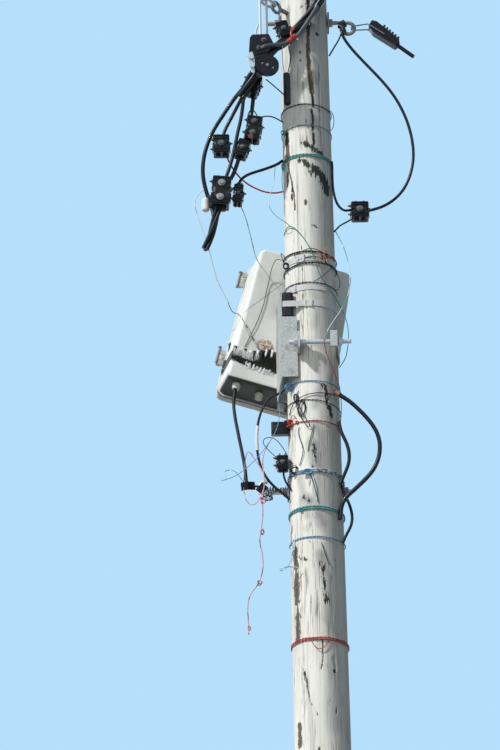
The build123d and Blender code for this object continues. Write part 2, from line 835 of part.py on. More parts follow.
# Half collar round the right and back of the pole, bent out into two ears
collar_radius = radius_at(rod_height - collar_height / 2) + seat_gap + collar_steel / 2
collar_bend = degrees(acos(collar_ear_x / collar_radius))
leg_start = on_ring(collar_radius, -collar_lean, 0)
leg_end_x = leg_start.X - (leg_start.Y + ear_reach) * tan(radians(collar_lean))
with BuildPart() as clamp_collar:
    with BuildSketch(Plane.XY.offset(rod_height - collar_height / 2)):
        with BuildLine():
            Line((collar_ear_x, ear_reach), (collar_ear_x, collar_radius * sin(radians(collar_bend))))
            CenterArc((0, 0), collar_radius, collar_bend, -collar_bend - collar_lean)
            Line((leg_start.X, leg_start.Y), (leg_end_x, -ear_reach))
            Line((leg_end_x, -ear_reach), (leg_end_x - collar_lip, -ear_reach))
            offset(amount=collar_steel / 2, kind=Kind.INTERSECTION)
        make_face()
    extrude(amount=collar_height)
    with BuildSketch(Plane.YZ.offset(collar_ear_x - 2 * collar_steel)):
        with Locations((rod_offset, rod_height)):
            Circle(rod_diameter / 2 + 1)
    extrude(amount=4 * collar_steel, mode=Mode.SUBTRACT)
    with BuildSketch(Plane.YZ.offset(leg_end_x - 2 * collar_steel)):
        with Locations((-rod_offset, rod_height)):
            Circle(rod_diameter / 2 + 1)
    extrude(amount=5 * collar_steel, mode=Mode.SUBTRACT)
save("clamp_collar", clamp_collar.part)

front_rise = (ear_reach - rod_offset + nut_flats / 2) * tan(radians(collar_lean))
front_seat = leg_end_x + seat_gap + collar_steel / 2 + front_rise
rear_seat = collar_ear_x + collar_steel / 2
for name, side, end in (("front", -1, rod_right), ("rear", 1, rear_seat + nut_thickness + 12)):
    with BuildPart() as clamp_rod:
        with BuildSketch(Plane.YZ.offset(rod_left)):
            with Locations((side * rod_offset, rod_height)):
                Circle(rod_diameter / 2)
        extrude(amount=end - rod_left)
        chamfer(clamp_rod.edges().filter_by(GeomType.CIRCLE), 1.5)
    save(f"clamp_rod_{name}", clamp_rod.part)

with BuildPart() as clamp_nuts:
    for side, seat, outward in (
        (-1, bracket_face_right, -1),
        (1, bracket_face_right, -1),
        (-1, front_seat, 1),
        (1, rear_seat, 1),
    ):
        with BuildSketch(Plane.YZ.offset(seat)):
            with Locations((side * rod_offset, rod_height)):
                RegularPolygon(nut_flats / 2, 6, major_radius=False)
                Circle(rod_diameter / 2 + 0.1, mode=Mode.SUBTRACT)
        extrude(amount=outward * nut_thickness)
save("clamp_nuts", clamp_nuts.part)

# Rubber pad that packs the lowest band off the shaft
pad_low = bracket_face_top + pad_rise
with BuildPart() as band_pad:
    with BuildSketch(Plane.XY.offset(pad_low)):
        with Locations((pad_x, pad_y)):
            RectangleRounded(pad_width, pad_length, 9)
        Circle(radius_at(pad_low) + seat_gap, mode=Mode.SUBTRACT)
    extrude(amount=pad_height)
save("band_pad", band_pad.part)


def band_core(inner, packed):
    """Outline inside a band, drawn out over the rubber pad where packed."""
    with BuildSketch() as core:
        Circle(inner)
        if packed:
            with Locations((pad_x, pad_y)):
                RectangleRounded(pad_width + seat_gap, pad_length + seat_gap, 9)
            make_hull()
    return core.sketch


# Steel bands round the shaft, the lowest also round its rubber pad
with BuildPart() as steel_bands:
    for rise, width, packed in zip(band_rises, band_widths, (False, False, True)):
        height = bracket_low + rise
        core = band_core(radius_at(height - width / 2) + band_gap, packed)
        with BuildSketch(Plane.XY.offset(height - width / 2)):
            add(offset(core, amount=band_thickness))
            add(core, mode=Mode.SUBTRACT)
        extrude(amount=width)
save("steel_bands", steel_bands.part)

# Tie wires twisted tight round the shaft, one node for each colour
for colour in ("green", "blue", "red", "dark"):
    with BuildPart() as tie_wires:
        for base, group in (
            (pigtail_height, head_wires),
            (bracket_low, bracket_wires),
            (service_height, service_wires),
        ):
            for above, wire in group.get(colour, ()):
                with Locations((0, 0, base + above)):
                    Torus(radius_at(base + above - wire) + wire + seat_gap, wire)
        if colour == "red":
            twist_root = at_shaft(red_tail_angle, service_height + red_tail_rise, wire + seat_gap)
            with BuildSketch(Plane(origin=twist_root, z_dir=(-1, -0.1, 0.02))):
                Circle(wire)
            extrude(amount=red_tail_length)
    save(f"tie_wires_{colour}", tie_wires.part)


def tap_connector(centre, size, turn, bolt_count):
    """Insulation piercing connector: two ribbed jaws drawn together by bolts."""
    wide, tall, deep = size
    across = (cos(radians(turn)), 0, sin(radians(turn)))
    front = Plane(origin=centre, x_dir=across, z_dir=(0, -1, 0)).offset(deep / 2)
    back = front.offset(-deep)
    with BuildPart() as jaws:
        with BuildSketch(back):
            RectangleRounded(wide, tall, connector_corner)
            with Locations((-wide / 2, 0), (wide / 2, 0)):
                Circle(tall * groove_share, mode=Mode.SUBTRACT)
        extrude(amount=deep)
        with BuildSketch(back):
            with GridLocations(0, tall / 5, 1, jaw_rib_count):
                Rectangle(wide + jaw_rib, tall / 14)
        extrude(amount=deep * 0.4)
        with BuildSketch(front):
            with GridLocations(0, tall / bolt_count, 1, bolt_count):
                Circle(wide * 0.2)
        extrude(amount=connector_bolt * 0.4)
        with BuildSketch(front.offset(connector_bolt * 0.4)):
            with GridLocations(0, tall / bolt_count, 1, bolt_count):
                RegularPolygon(wide * 0.14, 6)
        extrude(amount=connector_bolt * 0.6)
    return jaws.part


# Connectors of the line, and those of the jumper and of the service drops
hook_centre = Vector(-service_reach - radius_at(service_height), 0, service_height + service_hook_radius)
with BuildPart() as tap_connectors:
    for name, place, size, turn in line_connectors:
        add(tap_connector(bail_seat + Vector(*place), size, turn, 2 if name in twin_bolted else 1))
    add(tap_connector(ring_centre + Vector(*jumper_connector_place), jumper_connector_size, 0, 1))
    add(tap_connector(hook_centre + Vector(*service_connector_place), service_connector_size, 0, 1))
save("tap_connectors", tap_connectors.part)

# Wedge clamp of the span on the right, with the stub of its cable
wedge_start = ring_centre + Vector(*wedge_place)
wedge_axis = Vector(cos(radians(wedge_drop)), 0, -sin(radians(wedge_drop)))
with BuildPart() as wedge_clamp:
    wedge_side = Plane(origin=wedge_start, x_dir=wedge_axis, z_dir=(0, -1, 0))
    with BuildSketch(wedge_side.offset(-wedge_width / 2)):
        with BuildLine():
            FilletPolyline(*wedge_outline, radius=wedge_corner, close=True)
        make_face()
    extrude(amount=wedge_width)
    with BuildSketch(Plane(origin=wedge_start + wedge_axis * (wedge_length / 2), z_dir=wedge_axis)):
        Circle(span_diameter / 2)
    extrude(amount=wedge_length / 2 + span_stub)
save("wedge_clamp", wedge_clamp.part)

# Wire bail of the wedge clamp, looped through the pigtail ring
bail_side = wedge_width / 2 + wedge_bail_rod / 2 + seat_gap
with BuildPart() as wedge_bail:
    with BuildLine() as wedge_bail_path:
        FilletPolyline(
            *[ring_centre + Vector(x, -bail_side * share, z) for share, x, z in wedge_bail_route],
            *[ring_centre + Vector(x, bail_side * share, z) for share, x, z in wedge_bail_route[::-1]],
            radius=2 * wedge_bail_rod,
        )
    with BuildSketch(Plane(origin=wedge_bail_path.line @ 0, z_dir=wedge_bail_path.line % 0)):
        Circle(wedge_bail_rod / 2)
    sweep(path=wedge_bail_path.line)
save("wedge_bail", wedge_bail.part)

# Hook through the shaft that carries the service drops
with BuildPart() as service_hook:
    with BuildSketch(Plane.YZ.offset(hook_centre.X)):
        with Locations((0, service_height)):
            Circle(bolt_diameter / 2)
    bolt_end = radius_at(service_height) + washer_thickness + nut_thickness + service_bolt_end
    extrude(amount=bolt_end - hook_centre.X)
    with BuildSketch(Plane.YZ.offset(hook_centre.X)):
        with Locations((0, service_height)):
            Circle(bolt_diameter / 2)
    revolve(axis=Axis(hook_centre, (0, 1, 0)), revolution_arc=service_hook_turn)
save("service_hook", service_hook.part)

with BuildPart() as service_fixings:
    for fixing_list in bolt_fixings(service_height, service_washer):
        add(fixing_list)
save("service_fixings", service_fixings.part)

# Anchor wedges of the service drops, each with a ring on the hook
with BuildPart() as drop_clamps:
    for hook_angle, aim in drop_clamp_aims:
        out = Vector(*aim).normalized()
        radial = Vector(cos(radians(hook_angle)), 0, sin(radians(hook_angle)))
        on_hook = hook_centre + radial * service_hook_radius
        along = radial.cross(Vector(0, 1, 0))
        ring_axis = (along - out * along.dot(out)).normalized()
        skew = abs(ring_axis.dot(along))
        play = drop_ring_radius - drop_ring_rod / 2 - bolt_diameter / 2 / skew - 2 * seat_gap
        ring_centre_point = on_hook + out * play
        drop_ring = Plane(origin=ring_centre_point, x_dir=out, z_dir=ring_axis)
        with Locations(drop_ring):
            Torus(drop_ring_radius, drop_ring_rod / 2)
        with BuildSketch(Plane(origin=ring_centre_point + out * drop_ring_radius, z_dir=out)):
            Circle(drop_ring_rod)
        extrude(amount=drop_neck + 2)
        neck_end = ring_centre_point + out * (drop_ring_radius + drop_neck)
        body = Plane(origin=neck_end, x_dir=out, z_dir=ring_axis)
        with BuildSketch(body.offset(-drop_thickness / 2)):
            with BuildLine():
                FilletPolyline(
                    (0, -0.3 * drop_width),
                    (drop_length, -0.5 * drop_width),
                    (drop_length, 0.35 * drop_width),
                    (0, 0.35 * drop_width),
                    radius=4,
                    close=True,
                )
            make_face()
        extrude(amount=drop_thickness)
save("drop_clamps", drop_clamps.part)

# Cable glands in the underside of the box
with BuildPart() as cable_glands:
    for across, deep in gland_places:
        foot = box_point(across, -box_height - seat_gap, deep)
        with BuildSketch(Plane(origin=foot, x_dir=box_u, z_dir=-box_v)):
            RegularPolygon(gland_radius, 6)
        extrude(amount=gland_nut)
        with BuildSketch(Plane(origin=foot - box_v * gland_nut, x_dir=box_u, z_dir=-box_v)):
            Circle(gland_radius * 0.86)
        extrude(amount=gland_neck)
save("cable_glands", cable_glands.part)

# Terminal rail and its row of insulated blocks inside the box
with BuildPart() as terminal_rail:
    with BuildSketch(box_plane(-box_wall - seat_gap)):
        with Locations((0, -rail_drop)):
            Rectangle(rail_length, rail_width)
    extrude(amount=-rail_height)
save("terminal_rail", terminal_rail.part)

with BuildPart() as terminal_blocks:
    with BuildSketch(box_plane(-box_wall - seat_gap - rail_height)):
        with Locations((0, -rail_drop)):
            with GridLocations(rail_length / block_count, 0, block_count, 1):
                RectangleRounded(rail_length / block_count - 4, block_height, 4)
    extrude(amount=-block_depth)
save("terminal_blocks", terminal_blocks.part)

# Cables held between the connectors, whole along their way
for name, route, diameter in (
    ("line_bundle", line_bundle_route, bundle_diameter),
    ("line_tail", line_tail_route, tail_diameter),
):
    tube, bends = cable(shifted(bail_seat, route), diameter)
    save(name, tube)

with BuildPart() as line_strands:
    for route, diameter in (
        (strand_outer_route, thick_strand),
        (strand_middle_route, thin_strand),
        (strand_inner_route, thick_strand),
        (strand_lower_route, thin_strand),
    ):
        add(cable(shifted(bail_seat, route), diameter)[0])
save("line_strands", line_strands.part)

with BuildPart() as thin_jumpers:
    for base, route, end, diameter in zip(
        (bail_seat, ring_centre, ring_centre),
        (jumper_arc_route, jumper_tail_route, jumper_low_route),
        (arc_end, tail_end, low_end),
        thin_jumper_diameters,
    ):
        add(cable([*shifted(base, route), *below(base, [end])], diameter)[0])
save("thin_jumpers", thin_jumpers.part)


def shaft_loop(ends, between):
    """Route of a cable that leaves the shaft and comes back to it."""
    first, last = [at_shaft(angle, service_height + above, lift) for angle, above, lift in ends]
    return [first, *shifted(first, between), last]


# Cables that hang free between their ends
gland_end = (gland_places[0][0], -box_height - seat_gap - gland_nut - gland_neck, gland_places[0][1])
free_cables = {
    "jumper_black": (
        below(bail_seat, [black_start]) + shifted(bail_seat, jumper_black_route),
        11.0,
    ),
    "jumper_red": (
        shifted(bail_seat, jumper_red_route) + below(bail_seat, [red_end]),
        6.0,
    ),
    "jumper_right": (shifted(ring_centre, jumper_right_route), 11.0),
    "jumper_return": (
        shifted(ring_centre, jumper_return_route) + below(ring_centre, jumper_return_ends),
        9.0,
    ),
    "loop_high": (shaft_loop(loop_high_ends, loop_high_route), 15.0),
    "loop_mid": (shaft_loop(loop_mid_ends, loop_mid_route), 12.0),
    "loop_low": (shaft_loop(loop_low_ends, loop_low_route), 10.0),
    "pole_cable": (
        below(hook_centre, [pole_cable_start])
        + shifted(hook_centre, pole_cable_route)
        + below(hook_centre, [pole_cable_end]),
        9.0,
    ),
    "box_cable": ([box_point(*gland_end), *shifted(hook_centre, box_cable_route)], 12.0),
    "service_tail": (
        shifted(hook_centre, service_tail_route) + below(hook_centre, [service_tail_end]),
        7.0,
    ),
    "wire_white": (shifted(bail_seat, wire_white_route), 3.5),
    "wire_striped": (shifted(bail_seat, wire_striped_route), 3.0),
    "wire_teal": (shifted(bail_seat, wire_teal_route), 2.5),
    "wire_arc": (
        below(ring_centre, [wire_arc_start]) + shifted(ring_centre, wire_arc_route),
        3.0,
    ),
    "wire_green": (
        below(ring_centre, wire_green_start)
        + shifted(ring_centre, wire_green_route)
        + below(ring_centre, [wire_green_end]),
        3.0,
    ),
    "wire_knot": (
        below(Vector(0, 0, bracket_low), [wire_knot_start])
        + [box_point(*point) for point in wire_knot_route],
        2.5,
    ),
    "wire_blue": (
        below(hook_centre, [wire_blue_start]) + shifted(hook_centre, wire_blue_route),
        2.5,
    ),
    "wire_pink": (shifted(hook_centre, wire_pink_route), 3.5),
}
for name, (route, diameter) in free_cables.items():
    tube, bends = cable(route, diameter)
    print(name, "bends of", [round(bend) for bend in bends], "for a diameter of", diameter)
    save(name, tube)

# Porcelain knob on the outer strand
with BuildPart() as insulator_knob:
    with Locations(bail_seat + Vector(*knob_place)):
        Cylinder(knob_radius, knob_length)
    fillet(insulator_knob.edges(), knob_radius * 0.6)
save("insulator_knob", insulator_knob.part)

# Tape on the pigtail ring, and the sleeve taped down the front of the shaft
with BuildPart() as tape_wraps:
    with Locations(ring_centre + Vector(*tape_place)):
        Cylinder(tape_radius, tape_length, rotation=(0, 60, 0))
    sleeve_foot = at_shaft(sleeve_angle, bail_seat.Z + sleeve_low, sleeve_radius + seat_gap)
    with Locations(sleeve_foot):
        Cylinder(sleeve_radius, sleeve_length, align=(Align.CENTER, Align.CENTER, Align.MIN))
save("tape_wraps", tape_wraps.part)

# Copper sleeve at the start of the high loop
loop_start, loop_next = free_cables["loop_high"][0][:2]
with BuildPart() as contact_sleeve:
    with BuildSketch(Plane(origin=loop_start, z_dir=loop_next - loop_start)):
        Circle(contact_radius)
    extrude(amount=contact_length)
save("contact_sleeve", contact_sleeve.part)

# Junction block tied to the left of the shaft
junction_wide, junction_deep, junction_tall = junction_size
junction_centre = hook_centre + Vector(*junction_place)
with BuildPart() as junction_block:
    with BuildSketch(Plane.XY.offset(junction_centre.Z - junction_tall / 2)):
        with Locations((junction_centre.X, junction_centre.Y)):
            RectangleRounded(junction_wide, junction_deep, junction_corner)
        Circle(radius_at(junction_centre.Z - junction_tall / 2) + seat_gap, mode=Mode.SUBTRACT)
    extrude(amount=junction_tall)
save("junction_block", junction_block.part)
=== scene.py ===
"""Weathered timber pole with its line fittings, crooked moulded box and tied cables."""

import logging
import math
import random
from dataclasses import dataclass, field
from enum import Enum
from typing import Iterable, Optional, Sequence

import bmesh
import bpy
from mathutils import Matrix, Vector, noise


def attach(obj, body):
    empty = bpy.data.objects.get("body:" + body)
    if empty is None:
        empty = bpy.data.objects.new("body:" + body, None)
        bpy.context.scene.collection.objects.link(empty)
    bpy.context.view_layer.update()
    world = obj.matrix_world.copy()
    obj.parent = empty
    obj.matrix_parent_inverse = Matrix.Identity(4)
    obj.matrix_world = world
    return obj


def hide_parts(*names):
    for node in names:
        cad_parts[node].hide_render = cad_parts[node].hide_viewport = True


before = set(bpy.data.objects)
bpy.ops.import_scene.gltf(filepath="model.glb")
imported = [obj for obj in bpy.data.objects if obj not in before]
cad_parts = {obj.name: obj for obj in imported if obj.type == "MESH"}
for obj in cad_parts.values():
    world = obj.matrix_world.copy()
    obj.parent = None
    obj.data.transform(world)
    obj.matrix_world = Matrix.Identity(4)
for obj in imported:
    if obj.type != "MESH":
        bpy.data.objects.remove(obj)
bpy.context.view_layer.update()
LOG = logging.getLogger("pole")

MM = 0.001
PHOTO_SIZE = (500, 750)
FRONT = Vector((0.0, -1.0, 0.0))
DOWN = Vector((0.0, 0.0, -1.0))
MERGE_DISTANCE = 0.00002
FLAT_ANGLE = math.radians(0.6)
SMOOTH_ANGLE = math.radians(38)
EDGE_ANGLE = math.radians(40)
SEEN_RAYS = ("Camera", "Glossy", "Transmission")

Colour = tuple[float, float, float]
Point = tuple[float, float, float]
Piece = bpy.types.Object
Shape = bmesh.types.BMesh


class Body(Enum):
    """The two bodies that a piece can ride on."""

    POLE = "pole"
    LID = "lid"


class Stiffness(Enum):
    """How hard a free cable is to bend."""

    LIMP = "limp"
    MEDIUM = "medium"
    STIFF = "stiff"


class FarEnd(Enum):
    """What is on the far end of a free cable."""

    OBJECT = "object"
    BARE = "bare"
    KNOT = "knot"


def millimetres(point: Sequence[float]) -> Vector:
    """Point in metres from its coordinates in millimetres."""
    return Vector(point) * MM


# Shader maths


class Socket:
    """A node's output that takes part in Python expressions."""

    def __init__(self, owner: "Nodes", link: bpy.types.NodeSocket) -> None:
        """Keeps the output and the nodes that it belongs to."""
        self.owner = owner
        self.link = link

    def _sum(self, operation: str, *values: "Socket | float") -> "Socket":
        """Adds one Math node with this operation."""
        sockets = dict(enumerate(values))
        return self.owner.node("ShaderNodeMath", {"operation": operation}, sockets)

    def __add__(self, other: "Socket | float") -> "Socket":
        """This plus other."""
        return self._sum("ADD", self, other)

    __radd__ = __add__

    def __sub__(self, other: "Socket | float") -> "Socket":
        """This less other."""
        return self._sum("SUBTRACT", self, other)

    def __rsub__(self, other: float) -> "Socket":
        """Other less this."""
        return self._sum("SUBTRACT", other, self)

    def __mul__(self, other: "Socket | float") -> "Socket":
        """This times other."""
        return self._sum("MULTIPLY", self, other)

    __rmul__ = __mul__

    def __truediv__(self, other: "Socket | float") -> "Socket":
        """This over other."""
        return self._sum("DIVIDE", self, other)

    def __abs__(self) -> "Socket":
        """Size of this without its sign."""
        return self._sum("ABSOLUTE", self)

    def least(self, other: "Socket | float") -> "Socket":
        """The lesser of the two."""
        return self._sum("MINIMUM", self, other)

    def most(self, other: "Socket | float") -> "Socket":
        """The greater of the two."""
        return self._sum("MAXIMUM", self, other)

    def ease(self, low: float, high: float) -> "Socket":
        """Smooth step from 0 at low to 1 at high.

        Args:
            low: Value that gives 0.
            high: Value that gives 1, which may be below low.

        Returns:
            The eased number.
        """
        flip = low > high
        span = {"Value": self, "From Min": min(low, high), "From Max": max(low, high)}
        span.update({"To Min": 1.0 if flip else 0.0, "To Max": 0.0 if flip else 1.0})
        return self.owner.node("ShaderNodeMapRange", {"interpolation_type": "SMOOTHSTEP"}, span)


class Nodes:
    """Node tree whose nodes come from one method."""

    def __init__(self, tree: bpy.types.NodeTree, output: str) -> None:
        """Empties a tree and gives it its output node.

        Args:
            tree: Node tree of a material or of the world.
            output: Type of its output node.
        """
        tree.nodes.clear()
        self.tree = tree
        self.output = tree.nodes.new(output)

    def node(
        self,
        kind: str,
        settings: Optional[dict] = None,
        sockets: Optional[dict] = None,
        out: "int | str" = 0,
    ) -> Socket:
        """Adds one node.

        Args:
            kind: Node type.
            settings: Values of its own properties, set first, such as the operation.
            sockets: Values or links of its inputs, by name or number.
            out: Name or number of the output wanted.

        Returns:
            The wanted output.
        """
        made = self.tree.nodes.new(kind)
        for key, value in (settings or {}).items():
            setattr(made, key, value)
        for key, value in (sockets or {}).items():
            target = made.inputs[key]
            if isinstance(value, Socket):
                self.tree.links.new(value.link, target)
            elif value is not None:
                target.default_value = value
        return Socket(self, made.outputs[out])

    def show(self, surface: Socket) -> None:
        """Feeds a surface to the output."""
        self.tree.links.new(surface.link, self.output.inputs[0])

    def seen(self) -> Socket:
        """1 for rays that show the surroundings, 0 for those that light the object."""
        rays = [self.node("ShaderNodeLightPath", out=f"Is {ray} Ray") for ray in SEEN_RAYS]
        return rays[0].most(rays[1]).most(rays[2])


class Shader(Nodes):
    """Node tree of one finish, with its principled surface."""

    def __init__(self, name: str) -> None:
        """Starts a material with a bare principled surface.

        Args:
            name: Name of the material.
        """
        self.material = bpy.data.materials.new(name)
        self.material.use_nodes = True
        super().__init__(self.material.node_tree, "ShaderNodeOutputMaterial")
        self.surface = self.tree.nodes.new("ShaderNodeBsdfPrincipled")
        self.show(Socket(self, self.surface.outputs[0]))

    def place(self) -> Socket:
        """Object coordinates."""
        return self.node("ShaderNodeTexCoord", out="Object")

    def axis(self, vector: Socket, which: str) -> Socket:
        """One coordinate of a vector."""
        return self.node("ShaderNodeSeparateXYZ", sockets={0: vector}, out=which)

    def along(self, vector: Socket, direction: Vector, start: Vector) -> Socket:
        """Distance along a direction from a start point.

        Args:
            vector: Place in object coordinates.
            direction: Unit direction.
            start: Point where the distance is 0.

        Returns:
            The distance in metres.
        """
        settings = {"operation": "DOT_PRODUCT"}
        dot = self.node("ShaderNodeVectorMath", settings, {0: vector, 1: tuple(direction)}, "Value")
        return dot - direction.dot(start)

    def stretched(self, vector: Socket, scale: Point) -> Socket:
        """Coordinates scaled differently along each axis."""
        return self.node("ShaderNodeMapping", sockets={"Vector": vector, "Scale": scale})

    def noise(self, vector: Socket, scale: float, detail: float = 3.0, rough: float = 0.55) -> Socket:
        """Noise from 0 to 1."""
        sockets = {"Vector": vector, "Scale": scale, "Detail": detail, "Roughness": rough}
        return self.node("ShaderNodeTexNoise", sockets=sockets, out="Fac")

    def cells(self, vector: Socket, scale: float) -> Socket:
        """Distance to the nearest cell point."""
        return self.node("ShaderNodeTexVoronoi", sockets={"Vector": vector, "Scale": scale}, out="Distance")

    def upward(self) -> Socket:
        """How far the surface faces up, from -1 to 1."""
        return self.axis(self.node("ShaderNodeNewGeometry", out="Normal"), "Z")

    def attribute(self, name: str) -> Socket:
        """Number painted on the mesh."""
        return self.node("ShaderNodeAttribute", {"attribute_name": name}, out="Fac")

    def mix(self, share: "Socket | float", first: "Socket | Colour", second: "Socket | Colour") -> Socket:
        """Colour between two colours.

        Args:
            share: Share of the second colour.
            first: Colour at 0.
            second: Colour at 1.

        Returns:
            The colour.
        """
        first, second = [(*c, 1.0) if isinstance(c, tuple) else c for c in (first, second)]
        return self.node(
            "ShaderNodeMix", {"data_type": "RGBA"}, {0: share, 6: first, 7: second}, out=2
        )

    def bump(self, height: Socket, depth: float, strength: float = 1.0) -> None:
        """Lets a height shape the light, where 1 stands for this depth in metres."""
        sockets = {"Height": height, "Distance": depth, "Strength": strength}
        self.set(normal=self.node("ShaderNodeBump", sockets=sockets, out="Normal"))

    def set(
        self,
        colour: "Socket | Colour | None" = None,
        rough: "Socket | float | None" = None,
        metal: "Socket | float | None" = None,
        normal: Optional[Socket] = None,
        coat: Optional[float] = None,
        gloss: Optional[float] = None,
    ) -> None:
        """Feeds the sockets of the principled surface.

        Args:
            colour: Base colour.
            rough: Roughness.
            metal: Share of bare metal.
            normal: Bumped normal.
            coat: Weight of the clear coat.
            gloss: Specular level.
        """
        values = {
            "Base Color": (*colour, 1.0) if isinstance(colour, tuple) else colour,
            "Roughness": rough,
            "Metallic": metal,
            "Normal": normal,
            "Coat Weight": coat,
            "Specular IOR Level": gloss,
        }
        for name, value in values.items():
            if isinstance(value, Socket):
                self.tree.links.new(value.link, self.surface.inputs[name])
            elif value is not None:
                self.surface.inputs[name].default_value = value


# Finishes


@dataclass(frozen=True)
class Finish:
    """Base of the finishes: a name and one material built from it."""

    name: str

    def paint(self, shader: Shader) -> None:
        """Builds the nodes of the finish."""
        raise NotImplementedError

    def material(self) -> bpy.types.Material:
        """The finish's material, made once.

        Returns:
            The material.
        """
        found = bpy.data.materials.get(self.name)
        if found is None:
            shader = Shader(self.name)
            self.paint(shader)
            found = shader.material
        return found


@dataclass(frozen=True)
class Layer:
    """Noise drawn out along the grain, which blends a colour in where it is high."""

    name: str
    stretch: float
    scale: float
    detail: float
    rough: float
    low: float
    high: float
    share: float
    colour: Colour


GREY_WOOD: Colour = (0.33, 0.33, 0.32)
TIMBER_LAYERS = (
    Layer("patch", 0.35, 9.0, 3.0, 0.55, 0.4, 0.72, 0.45, (0.76, 0.72, 0.63)),
    Layer("streak", 0.05, 46.0, 4.0, 0.6, 0.55, 0.72, 0.36, GREY_WOOD),
    Layer("grain", 0.035, 260.0, 5.0, 0.62, 0.53, 0.72, 0.34, (0.33, 0.3, 0.26)),
    Layer("blotch", 0.22, 24.0, 5.0, 0.7, 0.57, 0.66, 0.5, GREY_WOOD),
    Layer("fleck", 0.3, 85.0, 5.0, 0.68, 0.665, 0.7, 0.85, (0.1, 0.085, 0.07)),
    Layer("split", 0.06, 70.0, 6.0, 0.72, 0.66, 0.72, 0.75, (0.16, 0.13, 0.1)),
)


@dataclass(frozen=True)
class Timber(Finish):
    """Bleached softwood with grain, grey streaks, scars and soot, greyed in places by weathering and along
    the right side partly by painted shade.
    """

    name: str = "bleached_timber"
    pale: Colour = (0.88, 0.86, 0.78)
    layers: tuple = TIMBER_LAYERS
    crack: Colour = (0.12, 0.1, 0.085)
    scar: Colour = (0.085, 0.056, 0.036)
    soot: Colour = (0.016, 0.015, 0.016)
    ring: Colour = (0.3, 0.26, 0.2)
    ring_count: float = 1600.0
    relief: float = 0.0014

    @staticmethod
    def drawn(shader: Shader, place: Socket, stretch: float, *settings: float) -> Socket:
        """Noise drawn out along the grain."""
        return shader.noise(shader.stretched(place, (1.0, 1.0, stretch)), *settings)

    @staticmethod
    def torn(shader: Shader, name: str, edge: Socket, low: float, high: float) -> Socket:
        """Painted mark with a torn edge."""
        mark = shader.attribute(name)
        return ((mark + edge).ease(low, high) * mark.ease(0.02, 0.2)).least(1.0)

    def rings(self, shader: Shader, place: Socket) -> Socket:
        """Share of the year rings' colour, on the end grain alone.

        Args:
            shader: Node tree.
            place: Object coordinates.

        Returns:
            The share from 0 to 1.
        """
        flat = {0: shader.stretched(place, (1.0, 1.0, 0.0))}
        radius = shader.node("ShaderNodeVectorMath", {"operation": "LENGTH"}, flat, "Value")
        ring = radius + shader.noise(place, 14.0, 2.0) * 0.012
        wave = shader.node("ShaderNodeMath", {"operation": "SINE"}, {0: ring * self.ring_count})
        return shader.upward().ease(0.75, 0.9) * (wave * 0.3 + 0.45)

    def paint(self, shader: Shader) -> None:
        """Grain and marks on object coordinates.

        Args:
            shader: Node tree that gets the nodes.
        """
        place = shader.place()
        colour = self.pale
        drawn = {}
        for layer in self.layers:
            noisy = self.drawn(shader, place, layer.stretch, layer.scale, layer.detail, layer.rough)
            colour = shader.mix(noisy.ease(layer.low, layer.high) * layer.share, colour, layer.colour)
            drawn[layer.name] = noisy
        grain, streak = drawn["grain"], drawn["streak"]
        line = self.drawn(shader, place, 0.02, 95.0, 2.0, 0.4)
        crack = abs(line - 0.5).ease(0.012, 0.002) * drawn["patch"].ease(0.42, 0.6)
        colour = shader.mix(crack * 0.8, colour, self.crack)
        # The "weathered" marks grey the wood: patches of weathering, and long strips down the right side that
        # are partly painted shade.
        worn = shader.attribute("weathered") * (grain * 1.5 + drawn["blotch"] * 1.1 - 0.2).least(1.0)
        colour = shader.mix(worn, colour, GREY_WOOD)
        edge = (self.drawn(shader, place, 0.3, 110.0, 6.0, 0.75) - 0.5) * 2.3 + (streak - 0.5) * 0.7
        scar = self.torn(shader, "scar", edge * 0.8, 0.44, 0.6)
        soot = self.torn(shader, "soot", edge, 0.42, 0.58)
        colour = shader.mix(scar * 0.9, colour, self.scar)
        colour = shader.mix(soot * 0.95, colour, self.soot)
        colour = shader.mix(self.rings(shader, place), colour, self.ring)
        speck = self.drawn(shader, place, 0.3, 330.0, 2.0)
        shader.set(colour=colour, rough=grain * 0.2 + 0.68, gloss=0.15)
        shader.bump(
            grain * 0.6 + streak * 0.5 - crack * 1.2 - scar * 0.8 + speck * 0.15, self.relief, 0.85
        )


@dataclass(frozen=True)
class Galvanised(Finish):
    """Zinc coated steel, dull and spangled, with a little rust."""

    name: str = "galvanised_zinc"
    zinc: Colour = (0.6, 0.62, 0.63)
    dull: Colour = (0.36, 0.38, 0.385)
    rust: Colour = (0.24, 0.105, 0.045)
    rusty: float = 0.35
    metal: float = 0.55
    rough: float = 0.36

    def paint(self, shader: Shader) -> None:
        """Spangle, dull patches, grime and rust.

        Args:
            shader: Node tree that gets the nodes.
        """
        place = shader.place()
        spangle = shader.cells(place, 160.0)
        patch = shader.noise(place, 24.0, 4.0)
        fine = shader.noise(place, 240.0, 3.0)
        colour = shader.mix(spangle.ease(0.1, 0.7) * 0.4 + fine.ease(0.35, 0.7) * 0.25, self.zinc, self.dull)
        colour = shader.mix(patch.ease(0.52, 0.72) * 0.6, colour, self.dull)
        spots = (shader.noise(place, 75.0, 5.0, 0.7) + patch * 0.5).ease(0.86, 0.98) * self.rusty
        colour = shader.mix(spots, colour, self.rust)
        rough = patch * 0.3 + self.rough + spots * 0.4
        shader.set(colour=colour, rough=rough, metal=self.metal * (1.0 - spots))
        shader.bump(fine * 0.5 + patch + spots, 0.0004, 0.6)


